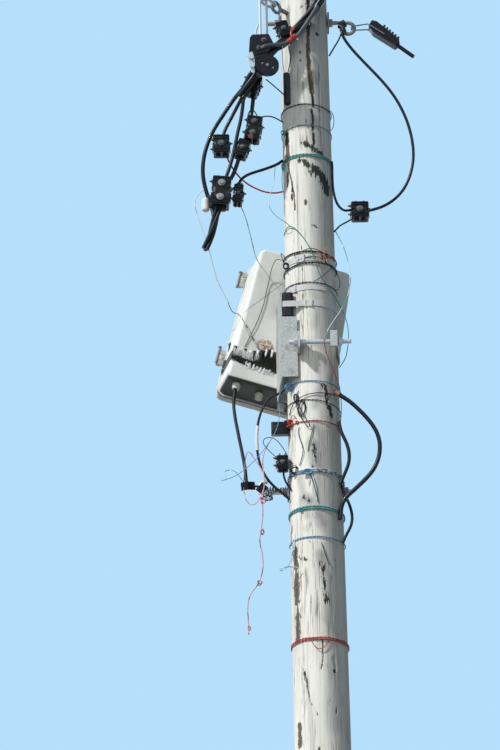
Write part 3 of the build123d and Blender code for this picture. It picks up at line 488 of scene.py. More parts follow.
@dataclass(frozen=True)
class Moulded(Finish):
    """Plain moulded or painted surface with scuffs, dust and a worn sheen."""

    name: str = "moulded"
    base: Colour = (0.03, 0.03, 0.034)
    worn: Colour = (0.12, 0.115, 0.11)
    wear: float = 0.45
    rough: float = 0.42
    grain: float = 380.0
    relief: float = 0.0003
    coat: float = 0.0
    metal: float = 0.0
    gloss: float = 0.5

    def paint(self, shader: Shader) -> None:
        """Patchy wear, dust on what faces up, fine grain.

        Args:
            shader: Node tree that gets the nodes.
        """
        place = shader.place()
        patch = shader.noise(place, 38.0, 5.0, 0.62)
        fine = shader.noise(place, self.grain, 3.0)
        dust = shader.upward().ease(0.15, 1.0) * 0.3 * fine
        share = (patch.ease(0.48, 0.74) * self.wear + dust).least(1.0)
        shader.set(
            colour=shader.mix(share, self.base, self.worn),
            rough=patch * 0.24 + (self.rough - 0.1) + fine * 0.08,
            metal=self.metal,
            coat=self.coat,
            gloss=self.gloss,
        )
        shader.bump(fine * 0.7 + patch * 0.6, self.relief, 0.7)


@dataclass(frozen=True)
class BoxSkin(Finish):
    """Cream glass-fibre moulding with soot, a brown scorch, a painted cable shadow line, weather streaks and
    an underside darkened by soot and painted shade.
    """

    name: str = "box_skin"
    cream: Colour = (0.84, 0.835, 0.79)
    shade: Colour = (0.6, 0.585, 0.52)
    scorch: Colour = (0.36, 0.2, 0.075)
    soot: Colour = (0.028, 0.027, 0.026)
    painted_cable_shadow: Colour = (0.34, 0.33, 0.29)
    # Dark brown of the underside: partly soot, partly painted shade.
    underside_soot_and_shade: Colour = (0.034, 0.029, 0.021)
    burn: tuple = ((-84, -384), (36, 30))
    soot_blots: tuple = (((-110, -450), (120, 36)), ((-205, -424), (34, 24)))
    origin: Vector = field(default_factory=Vector)
    across: Vector = field(default_factory=Vector)
    up: Vector = field(default_factory=Vector)

    @staticmethod
    def blot(u: Socket, v: Socket, centre: tuple, size: tuple) -> Socket:
        """Soft round mark on the face of the box.

        Args:
            u: Distance across the box.
            v: Distance up the box.
            centre: Middle of the mark in millimetres.
            size: Its half sizes in millimetres.

        Returns:
            1 in the middle of the mark and 0 outside it.
        """
        du = (u - centre[0] * MM) / (size[0] * MM)
        dv = (v - centre[1] * MM) / (size[1] * MM)
        return (du * du + dv * dv).ease(1.4, 0.2)

    def paint(self, shader: Shader) -> None:
        """Marks in the box's own frame over a weathered gel coat.

        Args:
            shader: Node tree that gets the nodes.
        """
        place = shader.place()
        u = shader.along(place, self.across, self.origin)
        v = shader.along(place, self.up, self.origin)
        patch = shader.noise(place, 11.0, 4.0)
        fine = shader.noise(place, 300.0, 3.0)
        ragged = shader.noise(place, 60.0, 6.0, 0.7) - 0.5
        colour = shader.mix(patch.ease(0.42, 0.75) * 0.35 + fine * 0.08, self.cream, self.shade)
        # Painted shadow: a thin grey line across the face stands for a cable's cast shadow, and the bump
        # sinks it slightly.
        cable_shadow_line = abs(v - u * 1.36 + 0.0283 + ragged * 0.01).ease(0.0055, 0.001)
        colour = shader.mix(cable_shadow_line * 0.55, colour, self.painted_cable_shadow)
        burn = self.blot(u, v, *self.burn) + ragged * 2.2
        crumple = shader.noise(place, 130.0, 6.0, 0.75)
        scorched = burn.ease(0.35, 0.75) * (crumple.ease(0.4, 0.56) * 0.85 + 0.15)
        colour = shader.mix(scorched, colour, self.scorch)
        colour = shader.mix(burn.ease(0.5, 1.0) * crumple.ease(0.52, 0.6) * 0.85, colour, self.soot)
        first, second = [self.blot(u, v, *blot) for blot in self.soot_blots]
        soot = (first.most(second) + ragged * 1.7).ease(0.45, 0.75)
        colour = shader.mix(soot * 0.9, colour, self.soot)
        # Surfaces that face down are darkened: partly soot, partly painted shade under the box.
        under = (shader.upward().ease(-0.2, -0.6) * 1.2 + ragged * 0.5).least(1.0).most(0.0)
        colour = shader.mix(under * 0.96, colour, self.underside_soot_and_shade)
        shader.set(colour=colour, rough=patch * 0.2 + 0.45 + soot * 0.2, gloss=0.2)
        shader.bump(fine * 0.4 + patch + ragged * 0.6 - cable_shadow_line, 0.0006, 0.7)


@dataclass(frozen=True)
class Banded(Finish):
    """Insulated wire with a spiral or broken marking of a second colour."""

    name: str = "marked_wire"
    base: Colour = (0.7, 0.7, 0.7)
    second: Colour = (0.03, 0.03, 0.03)
    share: float = 0.5
    pitch: float = 34.0
    rough: float = 0.4

    def paint(self, shader: Shader) -> None:
        """Broken stretches of the second colour along the wire.

        Args:
            shader: Node tree that gets the nodes.
        """
        place = shader.place()
        shift = self.share * 0.3
        marks = shader.noise(place, self.pitch, 2.0, 0.4).ease(0.66 - shift, 0.7 - shift)
        fine = shader.noise(place, 400.0, 2.0)
        shader.set(colour=shader.mix(marks, self.base, self.second), rough=fine * 0.15 + self.rough)
        shader.bump(fine, 0.0002, 0.5)


# Forms and bench tools


@dataclass(frozen=True)
class Trunk:
    """Form of the shaft, in millimetres."""

    height: float = 7500.0
    base_diameter: float = 208.0
    top_diameter: float = 171.0
    butt_swell: float = 5.0
    stations: tuple = (0.0, 750.0, 2625.0, 4500.0, 5290.0, 5414.0, 5850.0, 6750.0, 7145.0, 7269.0, 7500.0)

    def grown(self, z: float) -> float:
        """Radius of the grown trunk at a station.

        Args:
            z: Height in millimetres.

        Returns:
            The radius in millimetres.
        """
        share = z / self.height
        taper = self.base_diameter * (1 - share) + self.top_diameter * share
        return taper / 2 + self.butt_swell * (1 - share) ** 3

    def radius(self, z: float) -> float:
        """Radius at any height, straight between two stations.

        Args:
            z: Height in millimetres.

        Returns:
            The radius in millimetres.
        """
        low, high = next(
            (pair for pair in zip(self.stations, self.stations[1:]) if z <= pair[1]), self.stations[-2:]
        )
        share = (z - low) / (high - low)
        return self.grown(low) * (1 - share) + self.grown(high) * share

    def skin(self, angle: float, z: float, lift: float = 0.0) -> Vector:
        """Point on the skin, or lifted off it.

        Args:
            angle: Angle round the axis in degrees.
            z: Height in millimetres.
            lift: Distance off the skin in millimetres.

        Returns:
            The point in metres.
        """
        turn = math.radians(angle)
        reach = self.radius(z) + lift
        return millimetres((reach * math.cos(turn), reach * math.sin(turn), z))


TRUNK = Trunk()


class Bench:
    """Makes finished pieces out of meshes and curves."""

    @staticmethod
    def copy_of(node: str) -> Shape:
        """Mesh of a solid, its loose triangles merged into faces.

        Args:
            node: Name of the solid.

        Returns:
            The mesh in work.
        """
        shape = bmesh.new()
        shape.from_mesh(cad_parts[node].data)
        bmesh.ops.remove_doubles(shape, verts=shape.verts, dist=MERGE_DISTANCE)
        bmesh.ops.dissolve_limit(
            shape, angle_limit=FLAT_ANGLE, verts=shape.verts, edges=shape.edges, delimit=set()
        )
        return shape

    @staticmethod
    def finished(
        shape: Shape,
        name: str,
        finish: "Finish | Sequence[Finish]",
        slot: str,
        nodes: Iterable[str] = (),
        body: Body = Body.POLE,
        edge: float = 0.0,
        smooth: float = SMOOTH_ANGLE,
    ) -> Piece:
        """Turns a mesh in work into a piece of the part.

        Args:
            shape: Mesh in work, freed here.
            name: Name of the piece.
            finish: Its finish, or one for each material index.
            slot: Slot of the record that the finish belongs to.
            nodes: Solids that the piece stands for.
            body: Body it rides on.
            edge: Width of the rounded edges in metres, 0 for none.
            smooth: Largest angle that is shaded smooth.

        Returns:
            The piece.
        """
        mesh = bpy.data.meshes.new(name)
        shape.to_mesh(mesh)
        shape.free()
        for one in finish if isinstance(finish, (list, tuple)) else [finish]:
            mesh.materials.append(one.material())
        mesh.polygons.foreach_set("use_smooth", [True] * len(mesh.polygons))
        mesh.set_sharp_from_angle(angle=smooth)
        piece = bpy.data.objects.new(name, mesh)
        if edge:
            rounding = piece.modifiers.new("rounded_edges", "BEVEL")
            rounding.width = edge
            rounding.segments = 2
            rounding.limit_method = "ANGLE"
            rounding.angle_limit = EDGE_ANGLE
            rounding.harden_normals = False
        return Bench.placed(piece, slot, nodes, body)

    @staticmethod
    def placed(piece: Piece, slot: str, nodes: Iterable[str] = (), body: Body = Body.POLE) -> Piece:
        """Links a piece, gives it its body and hides the solids that it stands for.

        Args:
            piece: Object to link.
            slot: Slot of the record, not used.
            nodes: Solids that it stands for.
            body: Body it rides on.

        Returns:
            The piece.
        """
        bpy.context.scene.collection.objects.link(piece)
        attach(piece, body.value)
        if nodes:
            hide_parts(*nodes)
        return piece

    @staticmethod
    def refined(node: str, finish: Finish, slot: str, edge: float = 0.0, body: Body = Body.POLE) -> Piece:
        """Merged and smoothed copy of a solid that takes its place."""
        return Bench.finished(Bench.copy_of(node), f"{node}_look", finish, slot, [node], body, edge)

    @staticmethod
    def wires(
        name: str,
        lines: Sequence[Sequence[Vector]],
        diameter: float,
        finish: Finish,
        slot: str,
        nodes: Iterable[str] = (),
        routed: bool = True,
        detail: int = 10,
    ) -> Piece:
        """Round wires, each along its own spline.

        Args:
            name: Name of the piece.
            lines: Points of each wire in metres.
            diameter: Diameter in metres.
            finish: Finish of the wires.
            slot: Slot of the record.
            nodes: Solids that the wires stand for.
            routed: True where the points steer a smooth spline, False where they lie on the wire.
            detail: Steps of the spline between two of its points.

        Returns:
            The curve object.
        """
        curve = bpy.data.curves.new(name, "CURVE")
        curve.dimensions = "3D"
        curve.bevel_depth = diameter / 2
        curve.bevel_resolution = 3 if diameter > 0.004 else (2 if diameter > 0.0015 else 1)
        curve.use_fill_caps = True
        curve.resolution_u = detail
        for line in lines:
            Bench.spline(curve, line, routed)
        curve.materials.append(finish.material())
        return Bench.placed(bpy.data.objects.new(name, curve), slot, nodes)

    @staticmethod
    def spline(curve: bpy.types.Curve, line: Sequence[Vector], routed: bool = True) -> None:
        """Adds one spline to a curve.

        Args:
            curve: Curve that gets it.
            line: Its points in metres.
            routed: True where they steer a smooth spline, False where they lie on it.
        """
        spline = curve.splines.new("NURBS" if routed else "POLY")
        spline.points.add(len(line) - 1)
        for point, place in zip(spline.points, line):
            point.co = (*place, 1.0)
        if routed:
            spline.order_u = 3
            spline.use_endpoint_u = True
        spline.use_smooth = True

    @staticmethod
    def followed(route: Sequence[Point], resolution: int = 12) -> list[Vector]:
        """Points along the smooth spline that a route steers.

        Args:
            route: Points of the route in millimetres.
            resolution: Steps between two of them.

        Returns:
            The points in metres.
        """
        curve = bpy.data.curves.new("route", "CURVE")
        curve.dimensions = "3D"
        curve.resolution_u = resolution
        Bench.spline(curve, [millimetres(place) for place in route])
        holder = bpy.data.objects.new("route", curve)
        mesh = bpy.data.meshes.new_from_object(holder)
        points = [vertex.co.copy() for vertex in mesh.vertices]
        bpy.data.meshes.remove(mesh)
        bpy.data.objects.remove(holder)
        bpy.data.curves.remove(curve)
        return points

    @staticmethod
    def coiled(
        start: Point, length: float, radius: float, turns: float, steps: int, lift: float = 0.0,
        swell: float = 0.0,
    ) -> list[Vector]:
        """Wire wound round a bar along x, sizes in millimetres.

        Args:
            start: Point on the bar's middle where the winding starts.
            length: Length of the winding.
            radius: Radius of the winding.
            turns: Number of turns.
            steps: Number of steps.
            lift: Added to the radius, and to the angle in radians.
            swell: How much the radius comes and goes along the winding.

        Returns:
            The points that lie on the wire, in metres.
        """
        line = []
        for step in range(steps + 1):
            share = step / steps
            angle = math.tau * turns * share + lift
            reach = radius + lift + swell * math.sin(share * 9.0)
            line.append(millimetres((
                start[0] + length * share,
                start[1] + reach * math.cos(angle),
                start[2] + reach * math.sin(angle),
            )))
        return line

    @staticmethod
    def twisted(
        path: Sequence[Vector], count: int, offset: float, pitch: float, start: float = 0.0
    ) -> list[list[Vector]]:
        """Strands twisted round a path.

        Args:
            path: Points along the middle, in metres.
            count: Number of strands.
            offset: Distance of each strand from the middle, in metres.
            pitch: Length of one whole turn in metres, 0 for straight strands.
            start: Angle of the first strand in radians.

        Returns:
            The points of each strand.
        """
        lines = [[] for _ in range(count)]
        normal = Vector((0.31, -0.74, 0.6))
        travelled = 0.0
        for index, here in enumerate(path):
            ahead = path[min(index + 1, len(path) - 1)] - path[max(index - 1, 0)]
            tangent = ahead.normalized()
            travelled += (here - path[index - 1]).length if index else 0.0
            normal = (normal - tangent * normal.dot(tangent)).normalized()
            side = tangent.cross(normal)
            for number, line in enumerate(lines):
                turn = start + math.tau * ((travelled / pitch if pitch else 0.0) + number / count)
                line.append(here + (normal * math.cos(turn) + side * math.sin(turn)) * offset)
        return lines

    @staticmethod
    def tangle(centre: Vector, size: Point, turns: int, seed: int) -> list[Vector]:
        """Loose knot of wire round a point.

        Args:
            centre: Middle of the knot in metres.
            size: Half sizes of the knot in millimetres.
            turns: Number of loops.
            seed: Seed of its disorder.

        Returns:
            Points that steer the wire.
        """
        chance = random.Random(seed)
        points = []
        for step in range(turns * 5):
            turn = math.tau * step / 5 + chance.uniform(-0.5, 0.5)
            swing = chance.uniform(0.55, 1.0)
            offset = (
                size[0] * swing * math.cos(turn),
                size[1] * chance.uniform(-1.0, 1.0),
                size[2] * swing * math.sin(turn),
            )
            points.append(centre + millimetres(offset))
        return points

    @staticmethod
    def disc(
        shape: Shape, centre: Vector, axis: Vector, radius: float, depth: float, sides: int,
        taper: float = 1.0, turn: float = 0.0,
    ) -> None:
        """Adds a closed disc or bolt head that stands on a point.

        Args:
            shape: Mesh in work.
            centre: Middle of the disc's foot in metres.
            axis: Direction that it stands in.
            radius: Radius at the foot in millimetres.
            depth: Height in millimetres.
            sides: Number of its sides.
            taper: Radius at the top as a share of that at the foot.
            turn: Angle about the axis in radians.
        """
        spin = axis.to_track_quat("Z", "Y").to_matrix().to_4x4() @ Matrix.Rotation(turn, 4, "Z")
        middle = centre + axis.normalized() * (depth / 2 * MM)
        bmesh.ops.create_cone(
            shape, cap_ends=True, segments=sides, radius1=radius * MM, radius2=radius * taper * MM,
            depth=depth * MM, matrix=Matrix.Translation(middle) @ spin,
        )

    @staticmethod
    def bar(shape: Shape, size: Point, place: Matrix, offset: Point = (0, 0, 0)) -> None:
        """Adds a square bar, whose edges are rounded later.

        Args:
            shape: Mesh in work.
            size: Its three sizes in millimetres.
            place: Turn and place of its frame in metres.
            offset: Its middle in that frame in millimetres.
        """
        made = bmesh.ops.create_cube(shape, size=1.0)["verts"]
        bmesh.ops.scale(shape, vec=Vector(size) * MM, verts=made)
        bmesh.ops.translate(shape, vec=millimetres(offset), verts=made)
        bmesh.ops.transform(shape, matrix=place, verts=made)

    @staticmethod
    def rounded(shape: Shape, width: float, segments: int = 1) -> None:
        """Rounds every edge.

        Args:
            shape: Mesh in work.
            width: Width in millimetres.
            segments: Steps across it.
        """
        bmesh.ops.bevel(
            shape, geom=list(shape.edges), offset=width * MM, segments=segments, profile=0.5,
            affect="EDGES", material=-1,
        )


@dataclass(frozen=True)
class Stud:
    """Six-sided nut near the end of a round stud, sizes in millimetres."""

    nut: float
    nut_height: float
    shank: float
    shank_length: float

    def add(self, shape: Shape, foot: Vector, axis: Vector, turn: float = 0.0) -> None:
        """Adds the nut and the stud to a mesh in work."""
        Bench.disc(shape, foot, axis, self.nut, self.nut_height, 6, turn=turn)
        Bench.disc(shape, foot, axis, self.shank, self.shank_length, 12)


# The shaft


@dataclass(frozen=True)
class Mark:
    """A scar, stain or groove along a line on the shaft."""

    places: tuple
    width: float
    strength: float = 1.0
    depth: float = 0.0

    def reaches(self, z: float) -> bool:
        """Whether the mark is near this height."""
        heights = [height for _, height in self.places]
        return min(heights) - self.width * 2 < z < max(heights) + self.width * 2


SCARS = (
    Mark(((279.3, 7150), (278.3, 7101), (277.4, 7042), (278.8, 6979)), 8.5, 0.85, 7),
    Mark(((278.8, 6979), (282.6, 6918), (284.3, 6868)), 10, 0.9, 7),
    Mark(((201.8, 6743), (211, 6695), (218.1, 6641), (213.6, 6611), (220.1, 6566)), 4.5, 0.8, 2.5),
    Mark(((220.1, 6566), (226.3, 6522), (234.1, 6457), (236, 6396)), 4, 0.8, 2.5),
    Mark(((213, 5122), (216, 5062)), 14, 0.95, 2.5),
    Mark(((216.5, 5026), (216, 4984), (217, 4940)), 14, 0.95, 2.5),
    Mark(((218, 4882), (217, 4806)), 13, 0.9, 2),
    Mark(((216, 4508), (218, 4440)), 11, 0.9, 3.5),
    Mark(((215, 6682), (216.5, 6622)), 12, 0.95, 2),
    Mark(((213, 6560), (215, 6505)), 7, 0.75, 1.5),
    Mark(((263.2, 6424), (263.2, 6414)), 7, 0.8, 1),
    Mark(((260.7, 7221), (275.6, 7237), (289.8, 7193)), 9, 0.5),
    Mark(((211.6, 5142), (215.2, 5086), (216, 4979), (218.2, 4844)), 5, 0.85, 2),
    Mark(((275, 4789), (273.9, 4719), (269.3, 4685)), 3, 0.8, 2.5),
    Mark(((297.4, 4729), (301.4, 4696)), 9, 0.45, 3),
    Mark(((234.9, 4685), (245, 4586), (260.9, 4532)), 4, 0.6, 1),
    Mark(((215, 4515), (214.1, 4478), (213.5, 4441)), 7, 0.9, 3.5),
    Mark(((250, 6250), (252, 6090), (249, 5985)), 3, 0.6, 1.5),
    Mark(((268, 6760), (270, 6640)), 2.5, 0.55, 1.5),
    Mark(((305, 6990), (303, 6790), (306, 6660)), 2.5, 0.6, 2),
    Mark(((262, 4420), (258, 3900), (261, 3300), (257, 2600)), 5, 0.75, 3.5),
    Mark(((20, 7050), (16, 6300), (21, 5600), (17, 4700)), 5, 0.75, 3),
    Mark(((120, 6900), (124, 6100), (119, 5200), (122, 3900)), 5, 0.75, 3),
    Mark(((75, 5900), (79, 4800), (74, 3500), (77, 1800)), 6, 0.75, 3.5),
    Mark(((330, 4300), (327, 3500), (331, 2500), (326, 1300)), 6, 0.75, 3.5),
)
SOOT_STAINS = (
    Mark(((285, 6862), (286.2, 6835), (286.6, 6812)), 5, 0.9, 5),
    Mark(((256, 6590), (268.7, 6572), (283.5, 6556), (293.5, 6540)), 15, 0.72, 0.8),
    Mark(((288, 6550), (303, 6528), (313.4, 6508), (319, 6478)), 19, 1, 1.2),
    Mark(((275, 6548), (290, 6522), (306, 6498)), 14, 0.6, 0.5),
    Mark(((311, 6512), (320, 6462)), 9, 0.8, 0.5),
    Mark(((262, 6660), (286, 6634), (303, 6622)), 13, 0.7, 0.5),
    Mark(((283, 6800), (284.5, 6720), (287, 6660)), 7, 0.7, 1),
    Mark(((266, 5486), (270, 5440), (266, 5412)), 11, 0.6, 0.5),
    Mark(((240, 5302), (252, 5286)), 9, 0.55, 0.5),
    Mark(((292, 5712), (300, 5660), (308, 5606)), 13, 0.6, 0.5),
    Mark(((230, 5082), (244, 5078)), 9, 0.62, 0.5),
    Mark(((276.5, 5060), (281, 4990), (286, 4920)), 12, 0.58, 0.8),
    Mark(((232, 4700), (233, 4650)), 7, 0.55, 0.5),
    Mark(((213, 6716), (215, 6682)), 12, 1, 3),
    Mark(((228, 6512), (229, 6478)), 6, 0.9, 1),
    Mark(((226, 6462), (228, 6440)), 5, 0.8, 1),
    Mark(((283, 7250), (281, 7200), (280.5, 7150)), 9, 0.85, 4),
    Mark(((277.8, 6328), (289.4, 6318)), 5, 0.7, 1),
    Mark(((301.9, 7119), (301.9, 7115)), 6, 0.9, 1.5),
    Mark(((258, 7037), (258, 7033)), 4, 0.9, 1),
    Mark(((257.6, 7004), (257.6, 7000)), 4, 0.9, 1),
    Mark(((298.9, 4688), (298.9, 4682)), 6, 1, 4),
    Mark(((0, 20), (120, 30), (240, 22), (360, 20)), 70, 0.5),
)
# Greyed areas of the shaft. The long strips at angles 290 to 338 run down the side away from the sun: partly
# weathering, partly painted shade.
WEATHER_AND_SHADE_AREAS = (
    Mark(((290, 7480), (296, 7000), (300, 6700), (298, 6300), (303, 5900)), 30, 0.7),
    Mark(((308, 5700), (300, 5300), (305, 4900), (300, 4500)), 30, 0.65),
    Mark(((276, 6060), (288, 6000), (282, 5940)), 20, 0.6),
    Mark(((270, 5492), (276, 5412)), 24, 1),
    Mark(((242, 5300), (254, 5284)), 17, 1),
    Mark(((276, 5235), (284, 5200)), 20, 0.95),
    Mark(((303, 7250), (309, 7100), (303, 6950)), 20, 0.7, 1),
    Mark(((297, 6760), (300, 6640)), 26, 0.8),
    Mark(((272, 5560), (290.8, 5470), (274.1, 5394), (276.1, 5249)), 17, 0.8),
    Mark(((290.8, 5540), (285.7, 5178)), 14, 0.7),
    Mark(((233.2, 5374), (248.1, 5234)), 13, 0.6),
    Mark(((308.7, 5737), (323.1, 5669)), 18, 0.8),
    Mark(((287.5, 5700), (273.6, 5635)), 16, 0.6),
    Mark(((277.7, 5088), (293.6, 5001), (294.6, 4931), (291, 4860), (304.1, 4814)), 18, 0.9),
    Mark(((330, 7480), (336, 6400), (333, 5200), (338, 3800), (330, 1200)), 60, 0.45),
    Mark(((60, 7480), (66, 5200), (61, 3300), (70, 900)), 80, 0.5),
)


@dataclass
class Shaft:
    """Bleached trunk with its checks, scars and end grain, sizes in millimetres."""

    facing: int = 112
    hidden: int = 40
    facing_from: float = 168.0
    facing_arc: float = 204.0
    fine_from: float = 4400.0
    coarse_step: float = 50.0
    fine_step: float = 6.0
    chamfer: float = 6.0
    relief: float = 1.1
    wave: float = 2.2
    wave_rise: float = 0.0011
    ripple: float = 9.0
    ripple_rise: float = 0.004
    ripple_depth: float = 0.35
    fade: float = 1.6
    smooth: float = math.radians(50)
    scars: tuple = SCARS
    soot: tuple = SOOT_STAINS
    worn: tuple = WEATHER_AND_SHADE_AREAS

    def angles(self) -> list[float]:
        """Angles of the columns, closer together on the side with the marks.

        Returns:
            The angles in degrees.
        """
        near = [self.facing_from + self.facing_arc * k / self.facing for k in range(self.facing)]
        start = self.facing_from + self.facing_arc
        far = [start + (360.0 - self.facing_arc) * k / self.hidden for k in range(self.hidden + 1)]
        return near + far

    def heights(self) -> list[float]:
        """Heights of the rows, closer together along the upper part.

        Returns:
            The heights in millimetres.
        """
        rows = []
        z = 0.0
        while z < TRUNK.height - self.chamfer - 1.0:
            rows.append(z)
            z += self.coarse_step if z < self.fine_from else self.fine_step
        return [*rows, TRUNK.height - self.chamfer, TRUNK.height]

    def nearest(self, mark: Mark, angle: float, z: float) -> float:
        """Distance from a mark's line.

        Args:
            mark: The mark.
            angle: Angle round the axis in degrees.
            z: Height in millimetres.

        Returns:
            The shortest distance in millimetres, measured on the skin.
        """
        reach = TRUNK.radius(z)
        best = 1e9
        flat = [(math.radians((a - angle + 180) % 360 - 180) * reach, h - z) for a, h in mark.places]
        for (ax, az), (bx, bz) in zip(flat, flat[1:]):
            dx, dz = bx - ax, bz - az
            share = max(0.0, min(1.0, -(ax * dx + az * dz) / (dx * dx + dz * dz)))
            best = min(best, math.hypot(ax + dx * share, az + dz * share))
        return best

    def shape(self) -> Shape:
        """Grid wrapped round the trunk, with grooves cut and marks painted.

        Returns:
            The mesh in work.
        """
        angles, heights = self.angles(), self.heights()
        shape = bmesh.new()
        bmesh.ops.create_grid(
            shape, x_segments=len(angles) - 1, y_segments=len(heights) - 1, size=1.0
        )
        marked = {"weathered": self.worn, "scar": self.scars, "soot": self.soot}
        layers = {name: shape.verts.layers.float.new(name) for name in marked}
        verts = sorted(shape.verts, key=lambda v: (round(v.co.y, 6), round(v.co.x, 6)))
        for row, z in enumerate(heights):
            near_marks = [
                (layers[name], mark) for name, marks in marked.items() for mark in marks if mark.reaches(z)
            ]
            taken = self.chamfer if row == len(heights) - 1 else 0.0
            for vert, angle in zip(verts[row * len(angles):(row + 1) * len(angles)], angles):
                turn = math.radians(angle)
                across, ahead = math.cos(turn), math.sin(turn)
                wave = Vector((across * self.wave, ahead * self.wave, z * self.wave_rise))
                ripple = Vector((across * self.ripple, ahead * self.ripple, z * self.ripple_rise))
                sunk = self.relief * (0.5 + 0.5 * noise.noise(wave))
                sunk += self.ripple_depth * abs(noise.noise(ripple))
                for layer, mark in near_marks:
                    near = self.nearest(mark, angle, z)
                    share = max(0.0, 1.0 - near / (mark.width * self.fade))
                    if share:
                        vert[layer] = max(vert[layer], share ** 0.7 * mark.strength)
                        groove = max(0.0, 1.0 - (near / mark.width) ** 2)
                        sunk = max(sunk, mark.depth * groove)
                vert.co = TRUNK.skin(angle, z, -sunk - taken)
        bmesh.ops.remove_doubles(shape, verts=shape.verts, dist=0.00001)
        bmesh.ops.holes_fill(shape, edges=[e for e in shape.edges if e.is_boundary], sides=0)
        bmesh.ops.recalc_face_normals(shape, faces=shape.faces)
        return shape

    def build(self) -> list[Piece]:
        """Builds and dresses the shaft."""
        shape, nodes = self.shape(), ["pole_shaft"]
        return [Bench.finished(shape, "shaft_look", Timber(), "weathered_wood", nodes, smooth=self.smooth)]


# Finishes of the fittings

ZINC = Galvanised()
PALE_ZINC = Galvanised("pale_zinc", (0.78, 0.79, 0.8), (0.5, 0.51, 0.53), rusty=0.15, metal=0.12)
BOLT_ZINC = Galvanised("bolt_zinc", (0.36, 0.35, 0.33), (0.16, 0.15, 0.14), rusty=0.7, metal=0.5)
BOLT_DULL = Galvanised("bolt_dull", (0.15, 0.14, 0.13), (0.06, 0.055, 0.05), rusty=0.8, metal=0.3)
OLIVE_ZINC = Galvanised("olive_zinc", (0.36, 0.34, 0.27), (0.17, 0.16, 0.125), rusty=0.5, metal=0.2)
DULL_STEEL = Galvanised("dull_steel", (0.24, 0.235, 0.235), (0.1, 0.095, 0.1), rusty=0.55, metal=0.5)
BRACKET_ZINC = Galvanised(
    "bracket_zinc", (0.66, 0.68, 0.65), (0.26, 0.28, 0.27), rusty=0.5, metal=0.0, rough=0.5
)
BAND_STEEL = Galvanised("strap_zinc", (0.72, 0.715, 0.7), (0.42, 0.415, 0.4), rusty=0.4, metal=0.0, rough=0.5)
CLAMP_BLACK = Moulded("clamp_black", (0.006, 0.005, 0.0065), (0.04, 0.034, 0.042), 0.3, 0.3, gloss=0.22)
CONNECTOR_BLACK = Moulded(
    "connector_black", (0.005, 0.005, 0.0055), (0.045, 0.04, 0.036), 0.4, 0.3, gloss=0.22
)
CABLE_BLACK = Moulded(
    "cable_black", (0.004, 0.004, 0.005), (0.03, 0.03, 0.033), 0.3, 0.27, coat=0.1, gloss=0.22
)
CABLE_MATTE = Moulded("cable_matte", (0.006, 0.006, 0.007), (0.045, 0.043, 0.042), 0.45, 0.42, gloss=0.22)
CABLE_GREY = Moulded("cable_grey", (0.06, 0.06, 0.063), (0.2, 0.19, 0.185), 0.6, 0.42)
RUBBER = Moulded("rubber_black", (0.018, 0.015, 0.02), (0.07, 0.062, 0.07), 0.5, 0.6, gloss=0.22)
TAPE_BLACK = Moulded(
    "tape_black", (0.008, 0.008, 0.009), (0.05, 0.05, 0.053), 0.3, 0.32, coat=0.2, gloss=0.22
)
PORCELAIN = Moulded("porcelain_white", (0.8, 0.79, 0.75), (0.5, 0.47, 0.42), 0.35, 0.18, coat=0.5)
COPPER = Moulded("copper_bare", (0.3, 0.13, 0.07), (0.06, 0.04, 0.03), 0.8, 0.45, metal=0.5)
PALE_BLOCK = Moulded("pale_block", (0.62, 0.6, 0.52), (0.36, 0.33, 0.27), 0.6, 0.5)
NYLON_GREY = Moulded("nylon_grey", (0.5, 0.5, 0.48), (0.3, 0.29, 0.27), 0.5, 0.45)
TAPE_RED = Moulded("tape_red", (0.42, 0.02, 0.018), (0.5, 0.14, 0.1), 0.4, 0.35)
WIRE_GREEN = Moulded("wire_green", (0.03, 0.22, 0.14), (0.12, 0.34, 0.26), 0.5, 0.4)
WIRE_TEAL = Moulded("wire_teal", (0.045, 0.3, 0.28), (0.25, 0.5, 0.48), 0.6, 0.4)
WIRE_BLUE = Moulded("wire_blue", (0.1, 0.27, 0.47), (0.42, 0.6, 0.74), 0.65, 0.4)
WIRE_RED = Moulded("wire_red", (0.42, 0.028, 0.02), (0.55, 0.2, 0.16), 0.5, 0.4)
WIRE_DARK = Moulded("wire_dark", (0.022, 0.023, 0.026), (0.1, 0.1, 0.105), 0.5, 0.42, gloss=0.22)
WIRE_PINK = Banded("wire_pink", (0.68, 0.34, 0.4), (0.2, 0.09, 0.14), 0.42, 30.0)
WIRE_PALE = Banded("wire_pale", (0.88, 0.87, 0.86), (0.55, 0.5, 0.52), 0.2, 24.0)
WIRE_CYAN = Banded("wire_cyan", (0.6, 0.78, 0.76), (0.06, 0.36, 0.32), 0.45, 14.0)
WIRE_STRIPED = Banded("wire_striped", (0.7, 0.7, 0.68), (0.03, 0.03, 0.035), 0.6, 70.0)
WIRE_TWO = Banded("wire_two", (0.6, 0.7, 0.78), (0.07, 0.15, 0.28), 0.5, 70.0)
WIRE_SKY = Banded("wire_sky", (0.5, 0.74, 0.84), (0.06, 0.2, 0.3), 0.4, 40.0)
RUST_CAP = Moulded("rust_cap", (0.2, 0.085, 0.045), (0.08, 0.045, 0.03), 0.7, 0.6)
GLASS_FIBRE = Moulded("glass_fibre", (0.88, 0.88, 0.86), (0.55, 0.53, 0.5), 0.35, 0.6)


@dataclass(frozen=True)
class Solid:
    """A solid that keeps its shape and gets a finish and rounded edges, their width in metres."""

    node: str
    finish: Finish
    slot: str
    edge: float = 0.0006

    def build(self, body: Body = Body.POLE) -> Piece:
        """Makes the refined copy."""
        return Bench.refined(self.node, self.finish, self.slot, self.edge, body)


# The head of the pole


